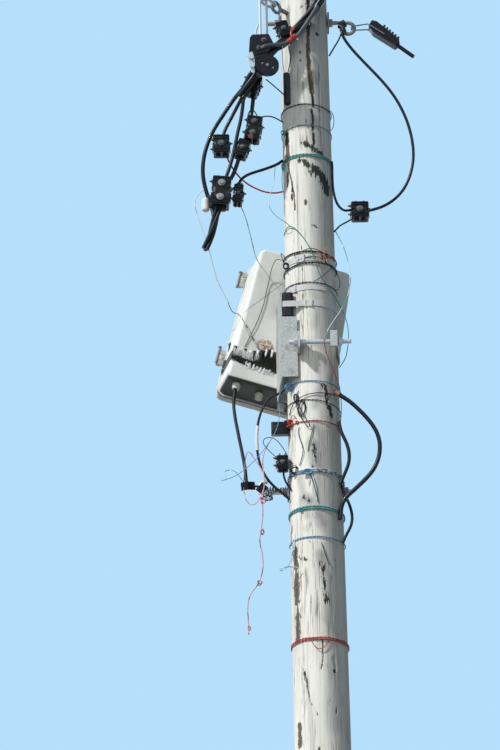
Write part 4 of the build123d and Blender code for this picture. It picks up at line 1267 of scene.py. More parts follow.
@dataclass
class HeadFittings:
    """Bolted hardware and clamps at the head, sizes in millimetres."""

    solids: tuple = (
        Solid("pigtail_bolt", OLIVE_ZINC, "galvanised", 0.0),
        Solid("square_washers", DULL_STEEL, "dark_steel", 0.0009),
        Solid("pigtail_nuts", DULL_STEEL, "dark_steel", 0.0008),
        Solid("anchor_hook", DULL_STEEL, "galvanised", 0.0),
        Solid("shackle_link", PALE_ZINC, "galvanised", 0.0),
        Solid("clamp_bail", PALE_ZINC, "galvanised", 0.0),
        Solid("strain_clamp", CLAMP_BLACK, "black_polymer", 0.0014),
        Solid("clamp_keeper", ZINC, "galvanised", 0.0009),
        Solid("clamp_spool", CLAMP_BLACK, "black_polymer", 0.0016),
        Solid("wedge_clamp", CLAMP_BLACK, "black_polymer", 0.0012),
        Solid("wedge_bail", DULL_STEEL, "galvanised", 0.0),
        Solid("tape_wraps", TAPE_BLACK, "black_polymer", 0.001),
    )
    spool_centre: Point = (-137.2, -171.5, 6923.5)
    spool_radius: float = 41.0
    spool_thickness: float = 14.0
    window_share: float = 0.52
    window_turns: tuple = (150.0, 330.0)
    window_lift: float = 6.0
    window_radius: float = 11.0
    window_depth: float = 2.0
    hub_radius: float = 7.0
    hub_depth: float = 2.4
    rib_rises: tuple = (-40.0, -24.0, -8.0, 8.0, 24.0)
    rib_size: Point = (44.0, 3.0, 4.0)
    rib_tilt: float = -14.0
    rib_drift: float = 0.16
    rib_place: Point = (-154.0, -172.2, 6990.0)
    front_bolts: tuple = ((-148.0, 7036.0, 6.5), (-166.0, 7004.0, 6.0))
    washer_rim: float = 3.0
    washer_depth: float = 2.0
    head_depth: float = 6.5
    stud_length: float = 10.0
    side_bolts: tuple = ((-176.0, -150.0, 7046.0), (-176.0, -150.0, 7018.0))
    side_axis: Point = (-1.0, 0.0, 0.1)
    side_stud: Stud = Stud(7.0, 12.0, 3.4, 20.0)
    wedge_centre: Point = (325.0, 0.0, 7123.0)
    wedge_axis: Point = (0.735, 0.0, -0.678)
    wedge_side: Point = (0.678, 0.0, 0.735)
    fin_places: tuple = (-64.0, -50.0, -36.0, -22.0, -8.0, 6.0)
    fin_size: Point = (6.0, 33.0, 9.0)
    fin_lift: float = 19.5
    fin_slope: float = 0.05

    def spool_windows(self) -> Piece:
        """White plates behind the two windows of the spool.

        Returns:
            The piece.
        """
        shape = bmesh.new()
        centre = millimetres(self.spool_centre) + FRONT * (self.window_lift * MM)
        for turn in (math.radians(degrees) for degrees in self.window_turns):
            swing = Vector((math.cos(turn), 0.0, math.sin(turn)))
            foot = centre + swing * (self.spool_radius * self.window_share * MM)
            Bench.disc(shape, foot, FRONT, self.window_radius, self.window_depth, 24)
        return Bench.finished(shape, "spool_windows", PORCELAIN, "black_polymer", edge=0.0002)

    def spool_hub(self) -> Piece:
        """Bolt head in the middle of the spool's back flange.

        Returns:
            The piece.
        """
        shape = bmesh.new()
        centre = millimetres(self.spool_centre) + FRONT * ((self.spool_thickness - 1.0) * MM)
        Bench.disc(shape, centre, FRONT, self.hub_radius, self.hub_depth, 6, 0.9)
        return Bench.finished(shape, "spool_hub", DULL_STEEL, "dark_steel", edge=0.0004)

    def clamp_ribs(self) -> Piece:
        """Stiffening ribs across the front of the wedge housing.

        Returns:
            The piece.
        """
        shape = bmesh.new()
        x, y, z = self.rib_place
        tilt = Matrix.Rotation(math.radians(self.rib_tilt), 4, "Y")
        for rise in self.rib_rises:
            place = Matrix.Translation(millimetres((x + rise * self.rib_drift, y, z + rise)))
            Bench.bar(shape, self.rib_size, place @ tilt)
        Bench.rounded(shape, 0.8, 2)
        return Bench.finished(shape, "clamp_ribs", CLAMP_BLACK, "black_polymer")

    def clamp_bolts(self) -> Piece:
        """Bolts, nuts and washers on the front and the left side of the line's strain clamp.

        Returns:
            The piece.
        """
        shape = bmesh.new()
        for across, rise, size in self.front_bolts:
            foot = millimetres((across, self.rib_place[1] + 1.0, rise))
            Bench.disc(shape, foot, FRONT, size + self.washer_rim, self.washer_depth, 20)
            Bench.disc(shape, foot, FRONT, size, self.head_depth, 6, 0.92, 0.4)
            Bench.disc(shape, foot, FRONT, size / 2, self.stud_length, 12)
        for place in self.side_bolts:
            self.side_stud.add(shape, millimetres(place), Vector(self.side_axis))
        return Bench.finished(shape, "clamp_bolts", BOLT_DULL, "dark_steel", edge=0.0004)

    def wedge_fins(self) -> Piece:
        """Fins across the right strain clamp.

        Returns:
            The piece.
        """
        shape = bmesh.new()
        axis, side = Vector(self.wedge_axis), Vector(self.wedge_side)
        turn = Matrix((axis, Vector((0, 1, 0)), side)).transposed().to_4x4()
        for along in self.fin_places:
            lift = self.fin_lift - along * self.fin_slope
            foot = millimetres(self.wedge_centre) + axis * (along * MM) + side * (lift * MM)
            Bench.bar(shape, self.fin_size, Matrix.Translation(foot) @ turn)
        Bench.rounded(shape, 0.9)
        return Bench.finished(shape, "wedge_fins", CLAMP_BLACK, "black_polymer")

    def build(self) -> list[Piece]:
        """Builds the head's pieces.

        Returns:
            The pieces.
        """
        return [
            *(solid.build() for solid in self.solids),
            self.spool_windows(),
            self.spool_hub(),
            self.clamp_ribs(),
            self.clamp_bolts(),
            self.wedge_fins(),
        ]


# The line and its connectors

BUNDLE_ROUTE = (
    (127.8, -60.2, 7330.5), (99.8, -92.2, 7290.5), (61.8, -108.2, 7243.5), (28.8, -108.2, 7190.5),
    (-5.2, -107.2, 7140.5), (-42.2, -110.2, 7099.5), (-79.2, -124.2, 7049.5), (-119.2, -143.2, 7008.5),
    (-154.2, -149.2, 6962.5), (-184.2, -146.2, 6914.5), (-208.2, -136.2, 6868.5), (-232.2, -122.2, 6826.5),
)
TAIL_ROUTE = (
    (-310.2, -110.2, 6412.5), (-322.2, -110.2, 6370.5), (-334.2, -109.2, 6325.5), (-348.2, -111.2, 6274.5),
    (-366.2, -110.2, 6226.5),
)
STRAND_ROUTES = (
    (15, (
        (-206.2, -134.2, 6880.5), (-238.2, -118.2, 6852.5), (-268.2, -104.2, 6816.5),
        (-300.2, -100.2, 6764.5), (-330.2, -100.2, 6713.5), (-354.2, -100.2, 6656.5),
        (-369.2, -99.2, 6596.5), (-373.2, -98.2, 6536.5), (-365.2, -94.2, 6480.5), (-350.2, -90.2, 6430.5),
        (-337.2, -94.2, 6384.5), (-333.2, -104.2, 6342.5),
    )),
    (13, (
        (-214.2, -130.2, 6856.5), (-232.2, -114.2, 6826.5), (-252.2, -102.2, 6790.5),
        (-272.2, -95.2, 6752.5), (-290.2, -93.2, 6716.5), (-301.2, -93.2, 6680.5), (-305.2, -95.2, 6646.5),
    )),
    (15, (
        (-188.2, -92.2, 6884.5), (-189.2, -100.2, 6840.5), (-194.2, -106.2, 6788.5),
        (-202.2, -110.2, 6732.5), (-218.2, -108.2, 6672.5), (-236.2, -104.2, 6618.5),
        (-252.2, -102.2, 6560.5), (-272.2, -106.2, 6504.5), (-298.2, -112.2, 6458.5),
    )),
    (13, (
        (-222.2, -128.2, 6844.5), (-226.2, -123.2, 6798.5), (-233.2, -119.2, 6746.5),
        (-246.2, -117.2, 6690.5), (-255.2, -116.2, 6640.5), (-266.2, -115.2, 6588.5),
        (-279.2, -116.2, 6538.5), (-296.2, -115.2, 6492.5),
    )),
)
THIN_ROUTES = (
    (5, (
        (-182.2, -98.2, 6734.5), (-174.2, -84.2, 6760.5), (-156.2, -72.2, 6777.5), (-130.2, -60.2, 6785.5),
        (-105.2, -46.2, 6782.5), (-84, -32.6, 6774.5),
    )),
    (6, (
        (138, -10, 7166), (132, -12, 7142), (120, -13, 7116), (106, -13, 7092), (89.3, -10, 7062),
    )),
    (6, (
        (158, -31, 6384), (140, -32, 6371), (120, -33, 6360), (103, -32, 6349), (87.1, -29, 6330),
    )),
)


@dataclass(frozen=True)
class Tap:
    """One insulation piercing connector: place and size in millimetres, turn in degrees."""

    centre: Point
    size: Point
    turn: float = 0.0
    bolts: int = 1

    @property
    def across(self) -> Vector:
        """Direction across the jaws."""
        turn = math.radians(self.turn)
        return Vector((math.cos(turn), 0.0, math.sin(turn)))

    @property
    def rise(self) -> Vector:
        """Direction up the connector."""
        turn = math.radians(self.turn)
        return Vector((-math.sin(turn), 0.0, math.cos(turn)))

    def at(self, across: float, rise: float, front: float = 0.0) -> Vector:
        """Point in metres from its place on the connector in millimetres."""
        return millimetres(self.centre) + (self.across * across + self.rise * rise + FRONT * front) * MM


TAPS = (
    Tap((-76.2, -118.2, 7104.5), (44, 62, 38), 20),
    Tap((-192.2, -90.2, 6891.5), (56, 74, 46), -20),
    Tap((-190.2, -112.2, 6699.5), (54, 92, 48), -10, 2),
    Tap((-231.2, -104.2, 6624.5), (44, 66, 42), -20),
    Tap((-305.2, -96.2, 6644.5), (58, 72, 46), 0),
    Tap((-308.2, -112.2, 6447.5), (66, 112, 50), -6, 2),
    Tap((-248.2, -84.2, 6452.5), (34, 74, 36), -6),
    Tap((180, -30, 6408), (62, 62, 44), 0),
    Tap((-111.9, -42, 5440), (40, 50, 36), 0),
)


@dataclass
class Line:
    """Line cable, its fanned strands and the connectors, sizes in millimetres."""

    bundle_strand: float = 15.6
    bundle_pitch: float = 420.0
    bundle_spread: float = 0.69
    tail_strand: float = 13.4
    tail_pitch: float = 500.0
    tail_spread: float = 0.58
    bolt_stand: float = 3.4
    bolt_share: float = 0.21
    rib_shares: tuple = (-0.44, -0.30, 0.30, 0.44)
    rib_width: float = 0.86
    rib_depth: float = 3.2
    rib_thickness: float = 2.6
    side_places: tuple = ((-1, 0.34), (1, 0.1), (-1, -0.2))
    side_stud: Stud = Stud(6.5, 9.0, 3.2, 15.0)
    top_places: tuple = (-0.22, 0.24)
    top_stud: Stud = Stud(6.0, 8.0, 3.0, 16.0)
    side_sunk: float = 4.0
    side_step: float = 5.0
    top_sunk: float = 3.0
    cap_place: tuple = (0.2, -0.46)
    cap_size: tuple = (0.15, 0.17)
    collar_rises: tuple = ((0.0,), (-0.25, 0.25))
    collar_radius: float = 0.27
    collar_depth: float = 3.0
    rust_offset: Point = (-10.0, -25.0, -40.48)
    rust_axis: Point = (0.1, -1.0, -0.2)
    rust_radius: float = 9.5
    rust_depth: float = 7.0

    def bolt_kind(self, place: Vector) -> int:
        """Finish of the bolt head at a place.

        Args:
            place: Middle of a face in metres.

        Returns:
            0 off the heads, 1 on the two pale ones and 2 on the dull ones.
        """
        for tap in TAPS:
            wide, tall, deep = tap.size
            off = place - millimetres(tap.centre)
            if off.y > -(deep / 2 + self.bolt_stand) * MM:
                continue
            across, rise = abs(off.dot(tap.across)), abs(off.dot(tap.rise))
            if across < wide * self.bolt_share * MM and rise < tall * 0.5 * MM:
                return 1 if tall > 100 else 2
        return 0

    def connectors(self) -> Piece:
        """Ribbed jaws with bare metal bolt heads.

        Returns:
            The piece.
        """
        shape = Bench.copy_of("tap_connectors")
        for face in shape.faces:
            face.material_index = self.bolt_kind(face.calc_center_median())
        return Bench.finished(
            shape, "tap_connectors_look", [CONNECTOR_BLACK, BOLT_ZINC, BOLT_DULL], "connector_polymer",
            ["tap_connectors"], edge=0.001,
        )

    def studs(self) -> Piece:
        """Clamping studs and their nuts at the sides and tops of the connectors.

        Returns:
            The piece.
        """
        shape = bmesh.new()
        for number, tap in enumerate(TAPS):
            wide, tall, _ = tap.size
            for side, up in self.side_places:
                foot = tap.at(side * (wide / 2 - self.side_sunk), tall * up, number % 3 * self.side_step)
                self.side_stud.add(shape, foot, tap.across * side, 0.3 * number)
            for share in self.top_places:
                foot = tap.at(share * wide, tall / 2 - self.top_sunk)
                self.top_stud.add(shape, foot, tap.rise, 0.5 * number)
        return Bench.finished(shape, "connector_studs", BOLT_DULL, "connector_polymer", edge=0.0004)

    def rust_cap(self) -> Piece:
        """Rusty cap on the right upper connector.

        Returns:
            The piece.
        """
        shape = bmesh.new()
        foot = millimetres(TAPS[2].centre) + millimetres(self.rust_offset)
        Bench.disc(shape, foot, Vector(self.rust_axis), self.rust_radius, self.rust_depth, 18, 0.85)
        return Bench.finished(shape, "rust_cap", RUST_CAP, "connector_polymer", edge=0.0008)

    def ribs(self) -> Piece:
        """Moulded ribs across the front of each connector's jaws.

        Returns:
            The piece.
        """
        shape = bmesh.new()
        for tap in TAPS:
            wide, tall, deep = tap.size
            turn = Matrix.Rotation(-math.radians(tap.turn), 4, "Y")
            place = Matrix.Translation(millimetres(tap.centre)) @ turn
            for share in self.rib_shares:
                size = (wide * self.rib_width, self.rib_depth, self.rib_thickness)
                Bench.bar(shape, size, place, (0.0, -(deep / 2 + 0.9), tall * share))
        Bench.rounded(shape, 0.6)
        return Bench.finished(shape, "connector_ribs", CONNECTOR_BLACK, "connector_polymer")

    def caps(self) -> Piece:
        """Rubber dead-end caps under the jaws and the collars round the bolts.

        Returns:
            The piece.
        """
        shape = bmesh.new()
        for tap in TAPS:
            wide, tall, deep = tap.size
            for side in (-1, 1):
                foot = tap.at(side * wide * self.cap_place[0], tall * self.cap_place[1])
                Bench.disc(shape, foot, DOWN, wide * self.cap_size[0], tall * self.cap_size[1], 14, 0.82)
            for spot in self.collar_rises[tap.bolts - 1]:
                foot = tap.at(0.0, tall * spot, deep / 2 - 0.5)
                Bench.disc(shape, foot, FRONT, wide * self.collar_radius, self.collar_depth, 20, 0.9)
        return Bench.finished(shape, "connector_caps", CONNECTOR_BLACK, "connector_polymer", edge=0.0004)

    def bundle(self) -> list[Piece]:
        """Four cables twisted into the line's bundle, and three into its tail.

        Returns:
            The pieces.
        """
        strand, thin = self.bundle_strand * MM, self.tail_strand * MM
        middle, end = Bench.followed(BUNDLE_ROUTE), Bench.followed(TAIL_ROUTE)
        lines = Bench.twisted(middle, 4, strand * self.bundle_spread, self.bundle_pitch * MM, 0.5)
        tail = Bench.twisted(end, 3, thin * self.tail_spread, self.tail_pitch * MM, 0.9)
        slot = "black_cable"
        return [
            Bench.wires("line_bundle_look", lines, strand, CABLE_BLACK, slot, ["line_bundle"], False),
            Bench.wires("line_tail_look", tail, thin, CABLE_MATTE, slot, ["line_tail"], False),
        ]

    def strands(self) -> list[Piece]:
        """The cables of the fan, and the thin jumpers.

        Returns:
            The pieces.
        """
        groups = (
            ("line_strands", STRAND_ROUTES, CABLE_BLACK, "black_cable"),
            ("thin_jumpers", THIN_ROUTES, WIRE_DARK, "dark_wire"),
        )
        pieces = []
        for node, routes, finish, slot in groups:
            sizes = sorted({size for size, _ in routes}, reverse=True)
            for size in sizes:
                lines = [[millimetres(p) for p in route] for width, route in routes if width == size]
                stands_for = [node] if size == sizes[0] else []
                pieces.append(
                    Bench.wires(f"{node}_{size:.0f}", lines, size * MM, finish, slot, stands_for)
                )
        return pieces

    def build(self) -> list[Piece]:
        """Builds the line's pieces.

        Returns:
            The pieces.
        """
        return [
            self.connectors(), self.ribs(), self.caps(), self.studs(), self.rust_cap(), *self.bundle(),
            *self.strands(),
        ]


# The moulded box


@dataclass(frozen=True)
class BoxFrame:
    """Frame of the crooked box: u right, v up and w out of its back."""

    origin: Vector = field(default_factory=lambda: millimetres((-5, 153, 6314)))
    across: Vector = field(default_factory=lambda: Vector((0.9491, 0.2366, -0.2079)))
    up: Vector = field(default_factory=lambda: Vector((0.2017, 0.0503, 0.9781)))
    out: Vector = field(default_factory=lambda: Vector((0.2419, -0.9703, 0.0)))

    def point(self, u: float, v: float, w: float = 0.0) -> Vector:
        """Point in metres from its place in the box's frame in millimetres."""
        return self.origin + (self.across * u + self.up * v + self.out * w) * MM


BOX = BoxFrame()


@dataclass
class DistributionBox:
    """Burnt moulded box with its lid, hinges, glands and inside, sizes in millimetres."""

    burnt_top: tuple = (
        (-214, -408), (-196, -418), (-166, -414), (-134, -420), (-105, -411), (-84, -400), (-58, -392),
        (-30, -401), (-18, -420),
    )
    burnt_foot: tuple = ((-40, -488), (-58, -478), (-74, -492), (-96, -480), (-118, -488), (-138, -472))
    fibre_count: int = 260
    fibre: float = 1.5
    fibre_drop: float = 34.0
    wool: tuple = (0.16, 0.5)
    tatter_count: int = 24
    tatter_widths: tuple = (5, 13)
    tatter_lengths: tuple = (12, 34)
    hinge_middle: Point = (-291.0, 226.0, 6126.0)
    hinge_axis: Point = (-0.244, -0.061, -0.968)
    hinge_places: tuple = (-190.0, 126.0)
    pin_radius: float = 4.5
    pin_length: float = 62.0
    screw_stand: float = 4.0
    screw_radius: float = 7.0
    screw_depth: float = 5.0
    seed: int = 7

    def skins(self) -> list[Piece]:
        """The two mouldings, refined.

        Returns:
            The pieces.
        """
        body = BoxSkin(origin=BOX.origin, across=BOX.across, up=BOX.up)
        lid = Moulded("lid_skin", (0.74, 0.72, 0.65), (0.5, 0.46, 0.38), 0.6, 0.5)
        return [
            Bench.refined("box_body", body, "box_moulding"),
            Bench.refined("box_lid", lid, "box_moulding", 0.0012, Body.LID),
        ]

    def along(self, edge: Sequence[tuple], share: float) -> tuple:
        """Place at a share of the way along a broken edge.

        Args:
            edge: Points of the edge.
            share: Share of the way, from 0 to 1.

        Returns:
            The place in the box's frame.
        """
        spot = share * (len(edge) - 1)
        index = min(int(spot), len(edge) - 2)
        rest = spot - index
        return tuple(a * (1 - rest) + b * rest for a, b in zip(edge[index], edge[index + 1]))

    def fibres(self) -> Piece:
        """Loose glass fibres that hang from the burnt edges.

        Returns:
            The piece.
        """
        chance = random.Random(self.seed)
        lines = []
        for number in range(self.fibre_count):
            hanging = number % 4 != 0
            edge = self.burnt_top if hanging else self.burnt_foot
            share = chance.random()
            if hanging and number % 8:
                share = self.wool[0] + share * (self.wool[1] - self.wool[0])
            u, v = self.along(edge, share)
            reach = self.fibre_drop * chance.uniform(0.3, 1.0) * (-1.0 if hanging else 0.45)
            lean, bow = chance.uniform(-14, 14), chance.uniform(-3.0, 1.5)
            lines.append([
                BOX.point(u, v + (5 if hanging else -5), -1.8),
                BOX.point(u + lean * 0.2, v + reach * 0.25, bow * 0.6),
                BOX.point(u + lean * 0.5, v + reach * 0.65, bow),
                BOX.point(u + lean, v + reach, bow - 3.0),
            ])
        return Bench.wires("burnt_fibres", lines, self.fibre * MM, GLASS_FIBRE, "box_moulding", detail=3)

    def hinge_pins(self) -> Piece:
        """Dark pins and screw heads of the hinge lugs.

        Returns:
            The piece.
        """
        shape = bmesh.new()
        axis = Vector(self.hinge_axis).normalized()
        middle = millimetres(self.hinge_middle)
        for along in self.hinge_places:
            foot = middle + axis * (along * MM)
            Bench.disc(shape, foot, axis, self.pin_radius, self.pin_length, 14)
            foot -= axis * (self.screw_stand * MM)
            Bench.disc(shape, foot, axis, self.screw_radius, self.screw_depth, 6)
        return Bench.finished(shape, "hinge_pins", DULL_STEEL, "dark_steel", edge=0.0004)

    def tatters(self) -> Piece:
        """Charred and pale flakes of laminate that curl out of the burnt edge.

        Returns:
            The piece.
        """
        chance = random.Random(self.seed + 1)
        shape = bmesh.new()
        for number in range(self.tatter_count):
            lip = number % 3 == 2
            edge = self.burnt_foot if lip else self.burnt_top
            u, v = self.along(edge, (number + chance.random()) / self.tatter_count)
            wide = chance.uniform(*self.tatter_widths)
            tall = chance.uniform(*self.tatter_lengths) * (-0.7 if lip else 1.0)
            made = bmesh.ops.create_grid(shape, x_segments=2, y_segments=5, size=1.0)["verts"]
            for vert in made:
                drop = (1.0 - vert.co.y) / 2
                narrow = 1.0 - 0.75 * drop * drop
                vert.co = BOX.point(
                    u + vert.co.x * wide * narrow / 2 + drop * chance.uniform(-2, 2),
                    v + (-3.0 if lip else 3.0) - drop * tall,
                    drop * 9.0 if lip else 0.4 + 2.0 * math.sin(drop * 2.6) - drop * 3.0,
                )
            for face in {face for vert in made for face in vert.link_faces}:
                face.material_index = number % 3 == 1
        char = Moulded("charred_laminate", (0.02, 0.019, 0.018), (0.16, 0.12, 0.08), 0.7, 0.8)
        piece = Bench.finished(shape, "burnt_tatters", [GLASS_FIBRE, char], "box_moulding")
        wall = piece.modifiers.new("laminate", "SOLIDIFY")
        wall.thickness = 0.7 * MM
        wall.offset = 0.0
        return piece

    def build(self) -> list[Piece]:
        """Builds the box's pieces.

        Returns:
            The pieces.
        """
        skins = self.skins()
        parts = (
            Solid("box_hinges", NYLON_GREY, "box_moulding", 0.001),
            Solid("cable_glands", PALE_BLOCK, "pale_polymer", 0.001),
            Solid("terminal_rail", ZINC, "galvanised", 0.0006),
            Solid("terminal_blocks", PALE_BLOCK, "pale_polymer", 0.0012),
        )
        fitted = [part.build() for part in parts]
        return [*skins, *fitted, self.fibres(), self.tatters(), self.hinge_pins()]


@dataclass
class Bracket:
    """Welded bracket, half collar, clamp rods and nuts, sizes in millimetres."""

    solids: tuple = (
        Solid("bracket_channel", BRACKET_ZINC, "bracket_steel", 0.0009),
        Solid("clamp_collar", BRACKET_ZINC, "bracket_steel", 0.0009),
        Solid("clamp_rod_front", ZINC, "galvanised", 0.0006),
        Solid("clamp_rod_rear", ZINC, "galvanised", 0.0006),
        Solid("clamp_nuts", ZINC, "galvanised", 0.0008),
    )
    thread_from: float = 60.0
    thread_to: float = 128.0
    thread_pitch: float = 4.0
    thread_depth: float = 0.5
    thread_wire: float = 2.2
    thread_steps: int = 14
    rod_y: float = -112.0
    rod_z: float = 5863.0
    rod_radius: float = 8.0

    def thread(self) -> Piece:
        """Rolled thread along the right end of the front rod.

        Returns:
            The piece.
        """
        length = self.thread_to - self.thread_from
        turns = length / self.thread_pitch
        start = (self.thread_from, self.rod_y, self.rod_z)
        radius, steps = self.rod_radius - self.thread_depth, int(turns * self.thread_steps)
        line = Bench.coiled(start, length, radius, turns, steps)
        return Bench.wires("rod_thread", [line], self.thread_wire * MM, ZINC, "galvanised", routed=False)

    def build(self) -> list[Piece]:
        """Builds the bracket's pieces."""
        return [*(solid.build() for solid in self.solids), self.thread()]


@dataclass
class Bands:
    """Strapping round the shaft with its folded clips and rubber pad, sizes in millimetres."""

    bands: tuple = ((6199.0, 24.0, 248.0), (6086.0, 22.0, 226.0), (6023.0, 22.0, 263.0))
    clip_width: float = 30.0
    clip_lift: float = 2.4
    clip_thickness: float = 2.0
    clip_layers: tuple = (
        (1.0, 4.0, 0.0, (0.0,)), (0.24, 5.0, 1.1, (-0.36, 0.36)), (0.12, -4.0, 2.0, (-0.36, 0.36)),
    )

    def clips(self) -> Piece:
        """A folded clip on each band, with its bent ears and crimp marks.

        Returns:
            The piece.
        """
        shape = bmesh.new()
        for z, width, angle in self.bands:
            outward = Vector((math.cos(math.radians(angle)), math.sin(math.radians(angle)), 0.0))
            turn = outward.to_track_quat("Y", "Z").to_matrix().to_4x4()
            place = Matrix.Translation(TRUNK.skin(angle, z, self.clip_lift)) @ turn
            for wide, more, lift, sides in self.clip_layers:
                size = (self.clip_width * wide, self.clip_thickness, width + more)
                for side in sides:
                    Bench.bar(shape, size, place, (side * self.clip_width, lift, 0.0))
        Bench.rounded(shape, 0.5)
        return Bench.finished(shape, "band_clips", BAND_STEEL, "band_steel")

    def build(self) -> list[Piece]:
        """Builds the strapping.

        Returns:
            The pieces.
        """
        return [
            Bench.refined("steel_bands", BAND_STEEL, "band_steel", 0.0003),
            Bench.refined("band_pad", RUBBER, "rubber_pad", 0.0012),
            self.clips(),
        ]


# Wires tied round the shaft


@dataclass(frozen=True)
class Ring:
    """Wire tied round the shaft: height, radius of the wire and how far it slopes, in millimetres."""

    z: float
    wire: float
    slope: float = 0.0
    twist: float = 26.0


@dataclass(frozen=True)
class Knot:
    """Clump of wire: a place on the skin, its half sizes and its turns."""

    angle: float
    z: float
    lift: float
    size: Point
    turns: int
    wire: float = 2.6


@dataclass
class TieWires:
    """All the ties of one colour, with their knots and loose ends, sizes in millimetres."""

    colour: str
    finish: Finish
    slot: str
    rings: tuple
    knots: tuple = ()
    tails: tuple = ()
    tail_wire: float = 2.6
    tail_finish: Optional[Finish] = None
    thick_finish: Optional[Finish] = None
    steps: int = 160
    seed: int = 1
    wobble: float = 2.6
    wobble_rate: float = 1.7
    slope_from: float = 200.0
    swell: float = 1.04

    def ring_lines(self, ring: Ring) -> list[list[Vector]]:
        """Two thin wires twisted along one tie.

        Args:
            ring: The tie.

        Returns:
            The points of each wire.
        """
        path = []
        for step in range(self.steps):
            angle = 360.0 * step / self.steps
            turn = math.radians(angle)
            across, ahead = math.cos(turn) * self.wobble_rate, math.sin(turn) * self.wobble_rate
            wave = noise.noise(Vector((across, ahead, ring.z)))
            slope = ring.slope * math.cos(math.radians(angle - self.slope_from))
            z = ring.z + slope + wave * self.wobble
            path.append(TRUNK.skin(angle, z, ring.wire + 0.2 + abs(wave) * 0.8))
        round_trip = math.tau * (TRUNK.radius(ring.z) + ring.wire)
        pitch = round_trip / max(1, round(round_trip / ring.twist))
        return Bench.twisted([*path, path[0]], 2, ring.wire * 0.5 * MM, pitch * MM, 0.4)

    def build(self) -> list[Piece]:
        """Builds the ties, knots and tails.

        Returns:
            The pieces.
        """
        pieces = []
        widths = sorted({ring.wire for ring in self.rings})
        for number, width in enumerate(widths):
            lines = [line for ring in self.rings if ring.wire == width for line in self.ring_lines(ring)]
            nodes = [f"tie_wires_{self.colour}"] if number == 0 else []
            finish = self.thick_finish if self.thick_finish and width == widths[-1] else self.finish
            name, wire = f"ties_{self.colour}_{number}", width * self.swell * MM
            pieces.append(Bench.wires(name, lines, wire, finish, self.slot, nodes, False))
        for number, knot in enumerate(self.knots):
            centre = TRUNK.skin(knot.angle, knot.z, knot.lift)
            points = Bench.tangle(centre, knot.size, knot.turns, self.seed * 31 + number)
            pieces.append(Bench.wires(
                f"knot_{self.colour}_{number}", [points], knot.wire * MM, self.finish, self.slot
            ))
        if self.tails:
            lines = [[TRUNK.skin(*place) for place in tail] for tail in self.tails]
            pieces.append(Bench.wires(
                f"tails_{self.colour}", lines, self.tail_wire * MM, self.tail_finish or self.finish, self.slot
            ))
        return pieces


